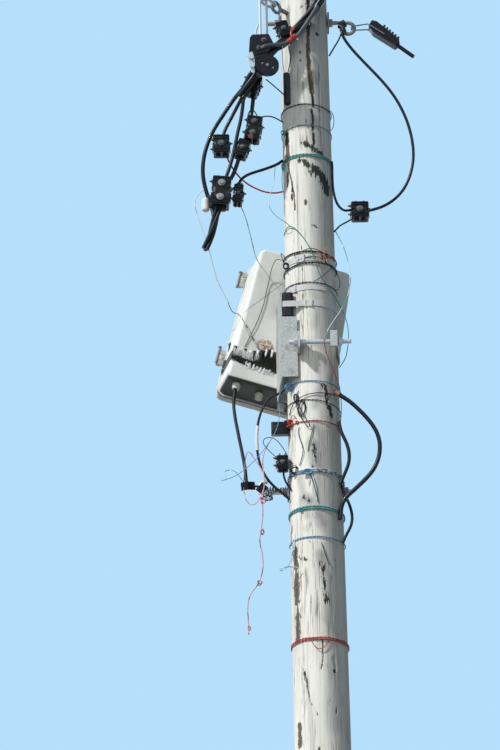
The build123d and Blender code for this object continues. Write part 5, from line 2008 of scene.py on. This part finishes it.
TIES = (
    TieWires(
        "green", WIRE_TEAL, "green_wire",
        (Ring(6729, 1.8, 2), Ring(6611, 2.6, 3), Ring(6604.6, 2.6, 3), Ring(5260, 2.6, 4),
         Ring(5253.6, 2.6, 4)),
        (Knot(207, 6726, 10, (9, 6, 12), 4, 2.4), Knot(205, 6590, 8, (8, 6, 18), 4, 2.4),
         Knot(238, 5256, 5, (13, 3, 7), 3, 3)),
        (((206, 6600, 6), (203, 6570, 11), (205, 6540, 14), (203, 6505, 12), (207, 6470, 9)),),
        2.4, seed=2,
    ),
    TieWires(
        "blue", WIRE_BLUE, "blue_wire",
        (Ring(5725, 2, 3), Ring(5395, 2.6, 5, 18), Ring(5388.6, 2.6, 5, 18), Ring(5152, 2.2, 3)),
        (Knot(216, 5722, 9, (23, 7, 17), 6, 3.4), Knot(252, 5388, 7, (24, 4, 12), 6, 3)),
        (((263, 5372, 3), (266, 5350, 5), (270, 5322, 3), (270.5, 5286, 2)),
         ((212, 5160, 4), (214, 5130, 9), (213, 5098, 12), (207, 5070, 18), (200, 5052, 32), (208, 5046, 60),
          (222, 5052, 40), (233, 5046, 14)),
         ((216, 5160, 4), (218, 5128, 7), (216, 5096, 10), (211, 5074, 15)),
         ((222, 5728, 5), (214, 5745, 9), (205, 5742, 8))),
        3.2, WIRE_SKY, WIRE_TWO, seed=3,
    ),
    TieWires(
        "red", WIRE_RED, "red_wire",
        (Ring(5576, 2, 3), Ring(4796, 2.4, 3), Ring(4789.8, 2.4, 3)),
        (Knot(203, 5588, 12, (20, 9, 22), 6, 3.4), Knot(214, 5585, 8, (13, 6, 17), 5, 3),
         Knot(231, 5580, 4, (9, 3, 7), 4, 2.4)),
        (((212, 5580, 5), (216, 5604, 9), (222, 5612, 8), (228, 5598, 5)),
         ((248, 4800, 3), (256, 4770, 6), (268, 4752, 7), (281, 4768, 6), (287, 4792, 3))),
        2.6, seed=4,
    ),
    TieWires(
        "dark", WIRE_DARK, "dark_wire",
        (Ring(6815, 2.2, 3), Ring(6222, 3, 6, 22), Ring(6180, 3, -5, 22), Ring(6101, 2.2, 5),
         Ring(5650, 1.6, 12)),
        (Knot(209, 6188, 8, (14, 6, 18), 5, 3.2), Knot(243, 5628, 5, (18, 4, 50), 5, 1.9),
         Knot(300, 6203, 6, (16, 4, 12), 4, 2.6), Knot(222, 5405, 7, (22, 6, 20), 6, 2.2),
         Knot(230, 5668, 5, (14, 4, 26), 5, 2.2)),
        (((334, 6816, 3), (341, 6818, 9), (349, 6800, 14), (352, 6768, 12), (345, 6742, 5), (338, 6738, 2)),
         ((276, 6106, 3), (286, 6112, 8), (300, 6138, 9), (315, 6160, 7), (322, 6172, 4)),
         ((338, 6176, 4), (349, 6160, 12), (354, 6130, 16), (347, 6104, 8), (338, 6098, 3)),
         ((318, 5700, 2), (338, 5720, 8), (346, 5640, 9), (335, 5560, 3)),
         ((205, 6220, 4), (200, 6242, 14), (190, 6255, 16), (184, 6236, 8), (190, 6216, 4)),
         ((236, 5560, 3), (230.5, 5545, 4), (242.6, 5488, 5), (244.4, 5458, 4), (233.9, 5418, 3)),
         ((268.1, 5561, 3), (258.7, 5506, 4), (253.7, 5466, 2)),
         ((235.7, 5695, 3), (227.1, 5673, 5), (231.9, 5626, 6), (244, 5584, 6), (254.9, 5551, 6),
          (261, 5556, 7), (248.8, 5594, 5), (236, 5640, 5), (229, 5668, 5)),
         ((252.5, 5394, 5), (260.9, 5366, 6), (268.7, 5314, 5), (272.3, 5278, 2)),
         ((233, 6212, 6), (262, 6236, 9), (292, 6228, 9), (318, 6206, 7)),
         ((238, 6190, 5), (268, 6206, 9), (300, 6196, 9), (330, 6172, 5)),
         ((277, 5131, 3), (284, 5090, 4), (292, 5052, 3))),
        2.6, seed=5,
    ),
)


@dataclass
class ServiceGear:
    """Hook bolt, drop clamps and the small fittings on the cables, sizes in millimetres."""

    solids: tuple = (
        Solid("service_hook", ZINC, "galvanised", 0.0),
        Solid("service_fixings", DULL_STEEL, "dark_steel", 0.0008),
        Solid("drop_clamps", CLAMP_BLACK, "black_polymer", 0.0012),
        Solid("junction_block", CONNECTOR_BLACK, "black_polymer", 0.0012),
        Solid("insulator_knob", PORCELAIN, "white_ceramic", 0.0),
        Solid("contact_sleeve", COPPER, "copper_sleeve", 0.0008),
    )
    block_centre: Point = (-118.0, -42.0, 5574.0)
    lid_bars: tuple = (((53.0, 4.0, 39.0), 0.0), ((60.0, 7.0, 4.0), -19.0))
    screw_across: tuple = (-21.0, 21.0)
    screw_rises: tuple = (-12.0, 14.0)
    screw_radius: float = 3.6
    screw_head: float = 1.8
    wrap_from: float = -166.0
    wrap_to: float = -88.0
    wrap_z: float = 5358.0
    wrap_radius: float = 11.0
    wrap_swell: float = 2.0
    wrap_steps: int = 16
    wraps: tuple = (
        ("hook_wrap_dark", WIRE_DARK, 9, 3.6, 0.0), ("hook_wrap_pale", BOLT_ZINC, 6, 2.6, 2.5),
    )

    def block_lid(self) -> Piece:
        """Raised lid of the junction block with its four screws and a lip.

        Returns:
            The piece.
        """
        shape = bmesh.new()
        centre = millimetres(self.block_centre)
        for size, rise in self.lid_bars:
            Bench.bar(shape, size, Matrix.Translation(centre), (0.0, -size[1] / 4, rise))
        Bench.rounded(shape, 1.0, 2)
        for across in self.screw_across:
            for rise in self.screw_rises:
                foot = centre + Vector((across, -2.5, rise)) * MM
                Bench.disc(shape, foot, FRONT, self.screw_radius, self.screw_head, 12, 0.8)
        return Bench.finished(shape, "block_lid", CONNECTOR_BLACK, "black_polymer")

    def hook_wraps(self) -> list[Piece]:
        """Preformed and tied wires that are wound round the hook's shank.

        Returns:
            The pieces.
        """
        pieces = []
        start, length = (self.wrap_from, 0.0, self.wrap_z), self.wrap_to - self.wrap_from
        for name, finish, turns, wire, lift in self.wraps:
            steps = turns * self.wrap_steps
            line = Bench.coiled(start, length, self.wrap_radius, turns, steps, lift, self.wrap_swell)
            pieces.append(Bench.wires(name, [line], wire * MM, finish, "galvanised", routed=False))
        return pieces

    def build(self) -> list[Piece]:
        """Builds the fittings."""
        return [*(solid.build() for solid in self.solids), self.block_lid(), *self.hook_wraps()]


# Cables and wires that hang free


@dataclass(frozen=True)
class FreeCable:
    """Cable with slack between its two ends, sizes in millimetres."""

    node: str
    finish: Finish
    slot: str
    diameter: float
    length: float
    route: tuple
    stiffness: Stiffness = Stiffness.LIMP
    far_end: FarEnd = FarEnd.OBJECT

    def build(self) -> Piece:
        """Returns:
            The cable.
        """
        line = [millimetres(point) for point in self.route]
        piece = Bench.wires(
            f"{self.node}_cable", [line], self.diameter * MM, self.finish, self.slot, [self.node]
        )
        return piece


FREE_CABLES = (
    FreeCable("jumper_black", CABLE_BLACK, "black_cable", 11, 244, (
        (-89.6, -27.2, 6620.5), (-104.2, -36.2, 6602.5), (-130.2, -48.2, 6584.5), (-160.2, -58.2, 6567.5),
        (-190.2, -66.2, 6553.5), (-218.2, -73.2, 6538.5), (-238.2, -79.2, 6518.5), (-248.2, -83.2, 6492.5),
        (-251.2, -84.2, 6466.5),
    ), Stiffness.MEDIUM),
    FreeCable("jumper_red", WIRE_RED, "red_wire", 6, 302, (
        (-294.2, -92.2, 6634.5), (-285.2, -83.2, 6600.5), (-266.2, -72.2, 6566.5), (-244.2, -65.2, 6536.5),
        (-218.2, -63.2, 6510.5), (-188.2, -64.2, 6490.5), (-156.2, -58.2, 6478.5), (-126.2, -46.2, 6479.5),
        (-103.2, -33.2, 6488.5), (-88.4, -22.5, 6498.5),
    ), Stiffness.MEDIUM),
    FreeCable("jumper_right", CABLE_BLACK, "black_cable", 11, 924, (
        (139, -13, 7186), (137, -15, 7160), (143, -17, 7134), (160, -19, 7102), (184, -20, 7066),
        (217, -20, 7024), (252, -20, 6980), (286, -19, 6936), (315, -20, 6890), (339, -20, 6842),
        (358, -20, 6790), (371, -20, 6738), (378, -21, 6684), (379, -22, 6632), (371, -23, 6580),
        (356, -24, 6532), (335, -25, 6492), (308, -26, 6460), (276, -27, 6436), (242, -28, 6420),
        (206, -29, 6411),
    ), Stiffness.STIFF),
    FreeCable("jumper_return", CABLE_MATTE, "black_cable", 9, 241, (
        (158, -30, 6420), (137, -31, 6411), (117, -33, 6416), (101, -36, 6436), (92, -37, 6466),
        (87.1, -37, 6502), (86.6, -36.8, 6540), (87.1, -37, 6576), (86.4, -36.7, 6608),
    ), Stiffness.STIFF),
    FreeCable("loop_high", CABLE_BLACK, "black_cable", 15, 569, (
        (75.1, -66, 5694), (92.1, -68, 5678), (120.1, -70, 5657), (152.1, -70, 5624), (182.1, -70, 5588),
        (206.1, -70, 5550), (219.1, -70, 5508), (218.1, -70, 5462), (205.1, -70, 5420), (183.1, -70, 5385),
        (153.1, -69, 5354), (126.1, -69, 5328), (93.1, -66, 5299), (80.1, -63, 5263), (77.9, -61.5, 5226),
    ), Stiffness.STIFF),
    FreeCable("loop_mid", CABLE_MATTE, "black_cable", 12, 246, (
        (84.1, -48, 5590), (86.1, -52, 5562), (96.1, -57, 5532), (108.1, -60, 5502), (115.1, -61, 5468),
        (113.1, -61, 5434), (103.1, -60, 5406), (92.1, -56, 5382), (81, -55, 5356),
    ), Stiffness.STIFF),
    FreeCable("loop_low", CABLE_MATTE, "black_cable", 10, 220, (
        (86, -43.4, 5356), (91, -45.4, 5334), (101, -46.4, 5308), (112, -46.4, 5281), (119, -46.4, 5246),
        (116, -46.4, 5216), (106, -46.4, 5192), (94, -45.4, 5172), (85, -46.1, 5148),
    ), Stiffness.STIFF),
    FreeCable("pole_cable", CABLE_MATTE, "black_cable", 9, 530, (
        (-93.3, 18.1, 5768), (-98.9, 10, 5744), (-111.9, -2, 5722), (-135.9, -12, 5708), (-159.9, -18, 5686),
        (-179.9, -20, 5650), (-191.9, -21, 5606), (-197.9, -21, 5560), (-197.9, -20, 5514),
        (-192.9, -20, 5468), (-180.9, -20, 5426), (-160.9, -21, 5388), (-135.9, -26, 5358),
        (-111.9, -31, 5335), (-90.8, -31.1, 5314),
    ), Stiffness.STIFF),
    FreeCable("box_cable", CABLE_MATTE, "pale_cable", 12, 472, (
        (-268.8, 122.3, 5796.2), (-273.9, 119, 5764), (-275.9, 112, 5730), (-272.9, 101, 5694),
        (-268.9, 87, 5656), (-262.9, 70, 5616), (-257.9, 50, 5576), (-251.9, 29, 5536), (-246.9, 8, 5498),
        (-241.9, -10, 5460), (-237.9, -25, 5424), (-235.9, -36, 5390), (-232.9, -40, 5360),
    ), Stiffness.STIFF),
    FreeCable("service_tail", CABLE_MATTE, "black_cable", 7, 87, (
        (-109.9, -44, 5424), (-109.9, -46, 5400), (-104.9, -47, 5378), (-96.9, -45, 5361),
        (-84.4, -41.7, 5344),
    ), Stiffness.MEDIUM),
    FreeCable("wire_white", WIRE_PALE, "pale_cable", 3.5, 445, (
        (-367.2, -96.2, 6473.5), (-396.2, -92.2, 6452.5), (-402.2, -90.2, 6416.5), (-392.2, -86.2, 6366.5),
        (-376.2, -80.2, 6322.5), (-360.2, -70.2, 6274.5), (-346.2, -56.2, 6222.5), (-338.2, -44.2, 6186.5),
        (-326.2, -30.2, 6144.5), (-308.2, -16.2, 6110.5), (-289.2, -6.2, 6072.5),
    )),
    FreeCable("wire_striped", WIRE_STRIPED, "pale_cable", 3, 184, (
        (-244.2, -66.2, 6428.5), (-236.2, -58.2, 6414.5), (-222.2, -40.2, 6384.5), (-212.2, -16.2, 6350.5),
        (-202.2, 9.8, 6316.5), (-194.2, 39.8, 6288.5),
    )),
    FreeCable("wire_teal", WIRE_CYAN, "green_wire", 2.5, 270, (
        (-115.2, -42.2, 6590.5), (-118.2, -52.2, 6557.5), (-121.2, -60.2, 6522.5), (-126.2, -64.2, 6492.5),
        (-136.2, -68.2, 6464.5), (-141.2, -72.2, 6434.5), (-138.2, -76.2, 6404.5), (-126.2, -80.2, 6380.5),
        (-108.2, -82.2, 6360.5), (-88.2, -83.2, 6346.5),
    )),
    FreeCable("wire_arc", WIRE_CYAN, "green_wire", 3, 521, (
        (89.5, -12.6, 6347), (110, -17, 6303), (123, -27, 6258), (133, -36, 6206), (138, -46, 6151),
        (135, -57, 6098), (123, -70, 6047), (104, -84, 6001), (82, -98, 5961), (60, -110, 5921),
        (44, -118, 5887), (40, -121.5, 5866),
    )),
    FreeCable("wire_green", WIRE_GREEN, "green_wire", 3, 668, (
        (-89.1, -15.7, 6325), (-83.2, -42.4, 6339), (-65.6, -67.9, 6338), (-42.9, -84.2, 6310),
        (-18.2, -93.8, 6270), (3.5, -99.6, 6221), (17.3, -98.3, 6174), (31.2, -93.3, 6125),
        (60.7, -77.6, 6089), (85.2, -43.4, 6065), (103, -30, 6031), (123, -24, 5983), (128, -18, 5928),
        (122, -12, 5880), (114, -9, 5842), (91.4, -7.5, 5812),
    )),
    FreeCable("wire_knot", WIRE_DARK, "dark_wire", 2.5, 470, (
        (-93.5, -19.9, 6224), (-110.1, 21.7, 6252.5), (-121.1, 64.3, 6269.9), (-132.8, 100.5, 6262.3),
        (-142.7, 114.5, 6218.6), (-154.8, 112, 6170.1), (-162, 110.2, 6125.7), (-177.2, 106.5, 6081),
        (-192.2, 102.7, 6037.2), (-213.8, 97.9, 5990.8), (-233.1, 94.5, 5946.9),
    )),
    FreeCable("wire_blue", WIRE_BLUE, "blue_wire", 2.5, 477, (
        (-76.8, -55.8, 5723), (-104.9, -64, 5713), (-125.9, -70, 5673), (-116.9, -78, 5616),
        (-123.9, -82, 5564), (-144.9, -87, 5516), (-174.9, -91, 5470), (-206.9, -94, 5430),
        (-242.9, -94, 5396), (-280.9, -92, 5370), (-318.9, -88, 5362),
    ), far_end=FarEnd.BARE),
    FreeCable("wire_pink", WIRE_PINK, "pink_wire", 3.5, 765, (
        (-139.9, -34, 5551), (-152.9, -45, 5522), (-168.9, -56, 5490), (-179.9, -70, 5446),
        (-177.9, -88, 5396), (-172.9, -97, 5346), (-182.9, -97, 5297), (-180.9, -92, 5248),
        (-184.9, -86, 5199), (-195.9, -80, 5145), (-183.9, -77, 5096), (-183.9, -75, 5045),
        (-197.9, -73, 4996), (-228.9, -71, 4962), (-238.9, -71, 4912), (-233.9, -70, 4858),
        (-234.9, -70, 4819),
    ), far_end=FarEnd.KNOT),
)


# Short wires and wraps that lie on other pieces


@dataclass(frozen=True)
class ShortWire:
    """Short wire or wrap held along its way, sizes in millimetres."""

    name: str
    finish: Finish
    slot: str
    diameter: float
    route: tuple

    def build(self) -> Piece:
        """Runs the wire along its route."""
        line = [millimetres(point) for point in self.route]
        return Bench.wires(self.name, [line], self.diameter * MM, self.finish, self.slot)


SHORT_WIRES = (
    ShortWire("grey_jumper", CABLE_GREY, "black_cable", 15, (
        (-173, -160, 6985), (-155, -170, 7007), (-126, -168, 7016), (-90, -158, 7021), (-54, -150, 7039),
        (-25, -146, 7067), (-3, -143, 7102), (24, -140, 7149), (48, -132, 7196),
    )),
    ShortWire("red_wrap", TAPE_RED, "red_wire", 21, (
        (-62, -149, 7036), (-47, -149, 7050), (-34, -148, 7064),
    )),
    ShortWire("red_strip", TAPE_RED, "red_wire", 9, (
        (-47, -156, 7050), (-52, -156, 7072), (-44, -148, 7092), (-38, -134, 7106),
    )),
    ShortWire("tan_wire", WIRE_PALE, "pale_cable", 3, (
        (-81, -152, 7026), (-84, -120, 7002), (-80, -95, 6971), (-74, -76, 6945),
    )),
    ShortWire("slate_wire", WIRE_DARK, "dark_wire", 4, (
        (-62, -146, 7032), (-53, -122, 7005), (-54, -96, 6979), (-66, -70, 6948),
    )),
    ShortWire("dark_wire_low", WIRE_DARK, "dark_wire", 4.5, (
        (-143, -150, 6884), (-115, -120, 6876), (-74, -62, 6866),
    )),
    ShortWire("bright_strand", PALE_ZINC, "pale_cable", 3, (
        (75, -117, 7262), (47, -128, 7217), (32, -130, 7176), (10, -130, 7134),
    )),
    ShortWire("red_drop", WIRE_RED, "red_wire", 3, (
        (38, -121.5, 5868), (41, -108, 5833), (61, -88, 5788), (84, -56, 5737), (92, -38, 5713),
        (90, -24, 5690),
    )),
    ShortWire("hook_wire", PALE_ZINC, "galvanised", 7, (
        (-166, -155, 7112), (-178, -150, 7086), (-172, -150, 7060), (-156, -150, 7050), (-147, -150, 7066),
    )),
    ShortWire("arc_wire", WIRE_DARK, "dark_wire", 3, (
        (-84.5, -37.5, 5622), (-76, -66, 5650), (-48, -86, 5668), (-6, -96, 5678), (38, -88, 5682),
        (74, -58, 5686),
    )),
    ShortWire("white_tail", WIRE_STRIPED, "pale_cable", 3, (
        (-289.2, -6.2, 6072.5), (-282, 30, 6060), (-266, 66, 6062), (-252.2, 82, 6070.5),
        (-228.2, 89.5, 6030), (-207.8, 95.5, 5985.2), (-190, 101.5, 5948),
    )),
    ShortWire("striped_tail", WIRE_STRIPED, "pale_cable", 3, (
        (-194.2, 39.8, 6288.5), (-190, 66, 6286), (-184, 90, 6284), (-177, 111.4, 6279.7),
    )),
    ShortWire("teal_tail", WIRE_CYAN, "green_wire", 2.8, (
        (-88.2, -83.2, 6346.5), (-80, -77, 6343), (-69.7, -64.5, 6337.5), (-50, -77, 6322),
    )),
    ShortWire("cable_sleeve", TAPE_BLACK, "black_polymer", 14, (
        (-233.6, -42, 5376), (-233.5, -39, 5364), (-238, -34, 5360), (-243, -30, 5361),
    )),
    ShortWire("slate_loop", WIRE_DARK, "dark_wire", 2.8, (
        (-84, -38, 5418), (-104, -50, 5430), (-130, -55, 5456), (-160, -62, 5483), (-180, -64, 5512),
        (-166, -62, 5531), (-136, -55, 5530), (-112, -48, 5503), (-92, -36, 5468),
    )),
    ShortWire("sky_loop", WIRE_SKY, "blue_wire", 2.4, (
        (-301, -93, 5366), (-316, -92, 5392), (-283, -86, 5405), (-260, -75, 5388), (-246, -56, 5370),
    )),
    ShortWire("pink_loop_low", WIRE_PINK, "pink_wire", 3, (
        (-175, -97, 5332), (-190, -96, 5290), (-212, -95, 5266), (-236, -82, 5285), (-243, -58, 5330),
        (-245, -48, 5362),
    )),
    ShortWire("pink_loop_high", WIRE_PINK, "pink_wire", 3, (
        (-244, -50, 5372), (-240, -78, 5403), (-236, -76, 5466), (-222, -73, 5476), (-204, -74, 5440),
        (-184, -82, 5409), (-174, -94, 5368),
    )),
    ShortWire("tap_wire", WIRE_DARK, "dark_wire", 4, (
        (-212, -112, 6742), (-208, -116, 6775), (-186, -112, 6786), (-172, -89, 6758),
    )),
    ShortWire("white_wrap", PORCELAIN, "pale_polymer", 12.5, (
        (-193.5, -21, 5590), (-197.2, -21, 5560), (-197.9, -20.4, 5530), (-196.6, -20, 5500),
    )),
    ShortWire("ring_wrap", TAPE_BLACK, "black_polymer", 19, (
        (128, -10, 7187), (140, -15, 7180), (144, -18, 7166), (148, -19, 7150),
    )),
)


@dataclass(frozen=True)
class LooseKnot:
    """Clump of wire in the air: its middle, half sizes and turns, in millimetres."""

    name: str
    finish: Finish
    slot: str
    centre: Point
    size: Point
    turns: int
    wire: float


WIRE_KNOTS = (
    LooseKnot("pink", WIRE_PINK, "pink_wire", (-181, -97, 5285), (12, 8, 14), 5, 3),
    LooseKnot("dark", WIRE_DARK, "dark_wire", (-163, -88, 5296), (20, 9, 13), 6, 2.2),
    LooseKnot("sky", WIRE_SKY, "blue_wire", (-172, -92, 5304), (14, 8, 10), 4, 2),
    LooseKnot("pink_mid", WIRE_PINK, "pink_wire", (-184.5, -90, 5176), (8, 6, 13), 4, 2.8),
    LooseKnot("pink_low", WIRE_PINK, "pink_wire", (-197, -73, 5000), (13, 6, 12), 3, 2.8),
    LooseKnot("pink_end", WIRE_PINK, "pink_wire", (-234, -70, 4842), (7, 5, 12), 4, 2.8),
    LooseKnot("green", WIRE_GREEN, "green_wire", (-246, -44, 5362), (9, 9, 12), 4, 3),
)


@dataclass
class Tangles:
    """Small knots along the loose wires, sizes in millimetres."""

    knots: tuple = WIRE_KNOTS
    seed: int = 400

    def build(self) -> list[Piece]:
        """Builds the knots.

        Returns:
            The pieces.
        """
        pieces = []
        for number, knot in enumerate(self.knots):
            points = Bench.tangle(millimetres(knot.centre), knot.size, knot.turns, self.seed + number)
            name = f"tangle_{knot.name}"
            pieces.append(Bench.wires(name, [points], knot.wire * MM, knot.finish, knot.slot))
        return pieces


@dataclass
class Frays:
    """Bared copper ends that spread out of a twisted joint, sizes in millimetres."""

    angle: float = 300.0
    z: float = 6206.0
    count: int = 11
    reach: float = 30.0
    squash: float = 0.62
    lift: float = 6.0
    lean: float = 9.0
    wire: float = 1.9
    seed: int = 11

    def build(self) -> list[Piece]:
        """Builds the frayed ends.

        Returns:
            The pieces.
        """
        chance = random.Random(self.seed)
        lines = []
        for _ in range(self.count):
            turn = chance.uniform(0.0, math.tau)
            line = []
            for step in range(4):
                share = step / 3
                reach = share * self.reach
                line.append(TRUNK.skin(
                    self.angle + math.cos(turn) * reach * self.squash + chance.uniform(-1.5, 1.5),
                    self.z + math.sin(turn) * reach + chance.uniform(-3, 3),
                    self.lift + share * self.lean + chance.uniform(0, 3),
                ))
            lines.append(line)
        bare = Moulded("bare_copper", (0.62, 0.27, 0.12), (0.3, 0.16, 0.09), 0.6, 0.42, metal=0.4)
        return [Bench.wires("copper_frays", lines, self.wire * MM, bare, "copper_sleeve", detail=5)]


# Camera, light and floor


@dataclass(frozen=True)
class Lamp:
    """Far lamp: the direction that it stands in, its strength, and its spread in degrees."""

    name: str
    towards: Point
    strength: float
    spread: float


LAMPS = (
    Lamp("sun", (-0.557, -0.435, 0.707), 3.3, 3.0),
    Lamp("fill", (-0.36, -0.92, 0.15), 0.55, 50.0),
    Lamp("back", (-0.08, 0.98, 0.18), 1.5, 50.0),
)


@dataclass
class Studio:
    """Camera at the picture's angle, soft lamps, an even sky and a pale floor, in metres and degrees."""

    eye: Point = (-0.217, -9.1, 1.55)
    rise: float = 25.0
    roll: float = 0.93
    focal_pixels: float = 2910.0
    sensor: float = 24.0
    lamps: tuple = LAMPS
    sky_light: float = 0.26
    sky_tint: Colour = (0.72, 0.87, 1.0)
    backdrop: Colour = (0.47, 0.74, 0.97)
    floor_radius: float = 14.0
    floor_seen: Colour = (0.66, 0.66, 0.65)
    floor_lit: Colour = (0.12, 0.12, 0.115)

    def camera(self) -> None:
        """Sets the camera."""
        rise, roll = math.radians(self.rise), math.radians(self.roll)
        right, up = Vector((1, 0, 0)), Vector((0, -math.sin(rise), math.cos(rise)))
        back = Vector((0, -math.cos(rise), -math.sin(rise)))
        turned = right * math.cos(roll) - up * math.sin(roll)
        head = up * math.cos(roll) + right * math.sin(roll)
        data = bpy.data.cameras.new("camera")
        data.sensor_fit = "AUTO"
        data.sensor_width = self.sensor
        data.lens = self.focal_pixels * self.sensor / max(PHOTO_SIZE)
        data.clip_start, data.clip_end = 0.1, 200.0
        camera = bpy.data.objects.new("camera", data)
        basis = Matrix((turned, head, back)).transposed().to_4x4()
        camera.matrix_world = Matrix.Translation(self.eye) @ basis
        bpy.context.scene.collection.objects.link(camera)
        bpy.context.scene.camera = camera

    def light(self) -> None:
        """Adds the sun and two wide soft fills, the second behind the object."""
        for lamp in self.lamps:
            data = bpy.data.lights.new(lamp.name, "SUN")
            data.energy = lamp.strength
            data.angle = math.radians(lamp.spread)
            made = bpy.data.objects.new(lamp.name, data)
            made.rotation_euler = Vector(lamp.towards).to_track_quat("Z", "Y").to_euler()
            bpy.context.scene.collection.objects.link(made)

    def sky(self) -> None:
        """Even sky light, and a pale backdrop where it is looked at."""
        world = bpy.data.worlds.new("sky")
        world.use_nodes = True
        nodes = Nodes(world.node_tree, "ShaderNodeOutputWorld")
        kind = "ShaderNodeBackground"
        light = nodes.node(kind, sockets={0: (*self.sky_tint, 1.0), 1: self.sky_light})
        shown = nodes.node(kind, sockets={0: (*self.backdrop, 1.0), 1: 1.0})
        nodes.show(nodes.node("ShaderNodeMixShader", sockets={0: nodes.seen(), 1: light, 2: shown}))
        bpy.context.scene.world = world

    def floor(self) -> None:
        """Round pale floor that keeps the object's shadow."""
        shape = bmesh.new()
        bmesh.ops.create_circle(shape, cap_ends=True, segments=96, radius=self.floor_radius)
        mesh = bpy.data.meshes.new("floor")
        shape.to_mesh(mesh)
        shape.free()
        shader = Shader("floor_pale")
        speck = shader.noise(shader.place(), 3.0, 4.0)
        colour = shader.mix(shader.seen(), self.floor_lit, self.floor_seen)
        shader.set(colour=colour, rough=speck * 0.1 + 0.8)
        mesh.materials.append(shader.material)
        floor = bpy.data.objects.new("floor", mesh)
        bpy.context.scene.collection.objects.link(floor)

    def build(self) -> None:
        """Sets up the whole studio."""
        self.camera()
        self.light()
        self.sky()
        self.floor()
        bpy.context.scene.view_settings.view_transform = "Standard"


def main() -> None:
    """Builds the studio and each sub-assembly in order, and reports the pieces."""
    logging.basicConfig(level=logging.INFO, format="%(name)s: %(message)s")
    Studio().build()
    groups = (
        Shaft(), HeadFittings(), Line(), DistributionBox(), Bracket(), Bands(), *TIES, ServiceGear(),
        Tangles(), Frays(),
    )
    for group in groups:
        for piece in group.build():
            LOG.info("%s made %s", type(group).__name__, piece.name)
    for wire in (*FREE_CABLES, *SHORT_WIRES):
        LOG.info("%s made %s", type(wire).__name__, wire.build().name)


if __name__ == "__main__":
    main()
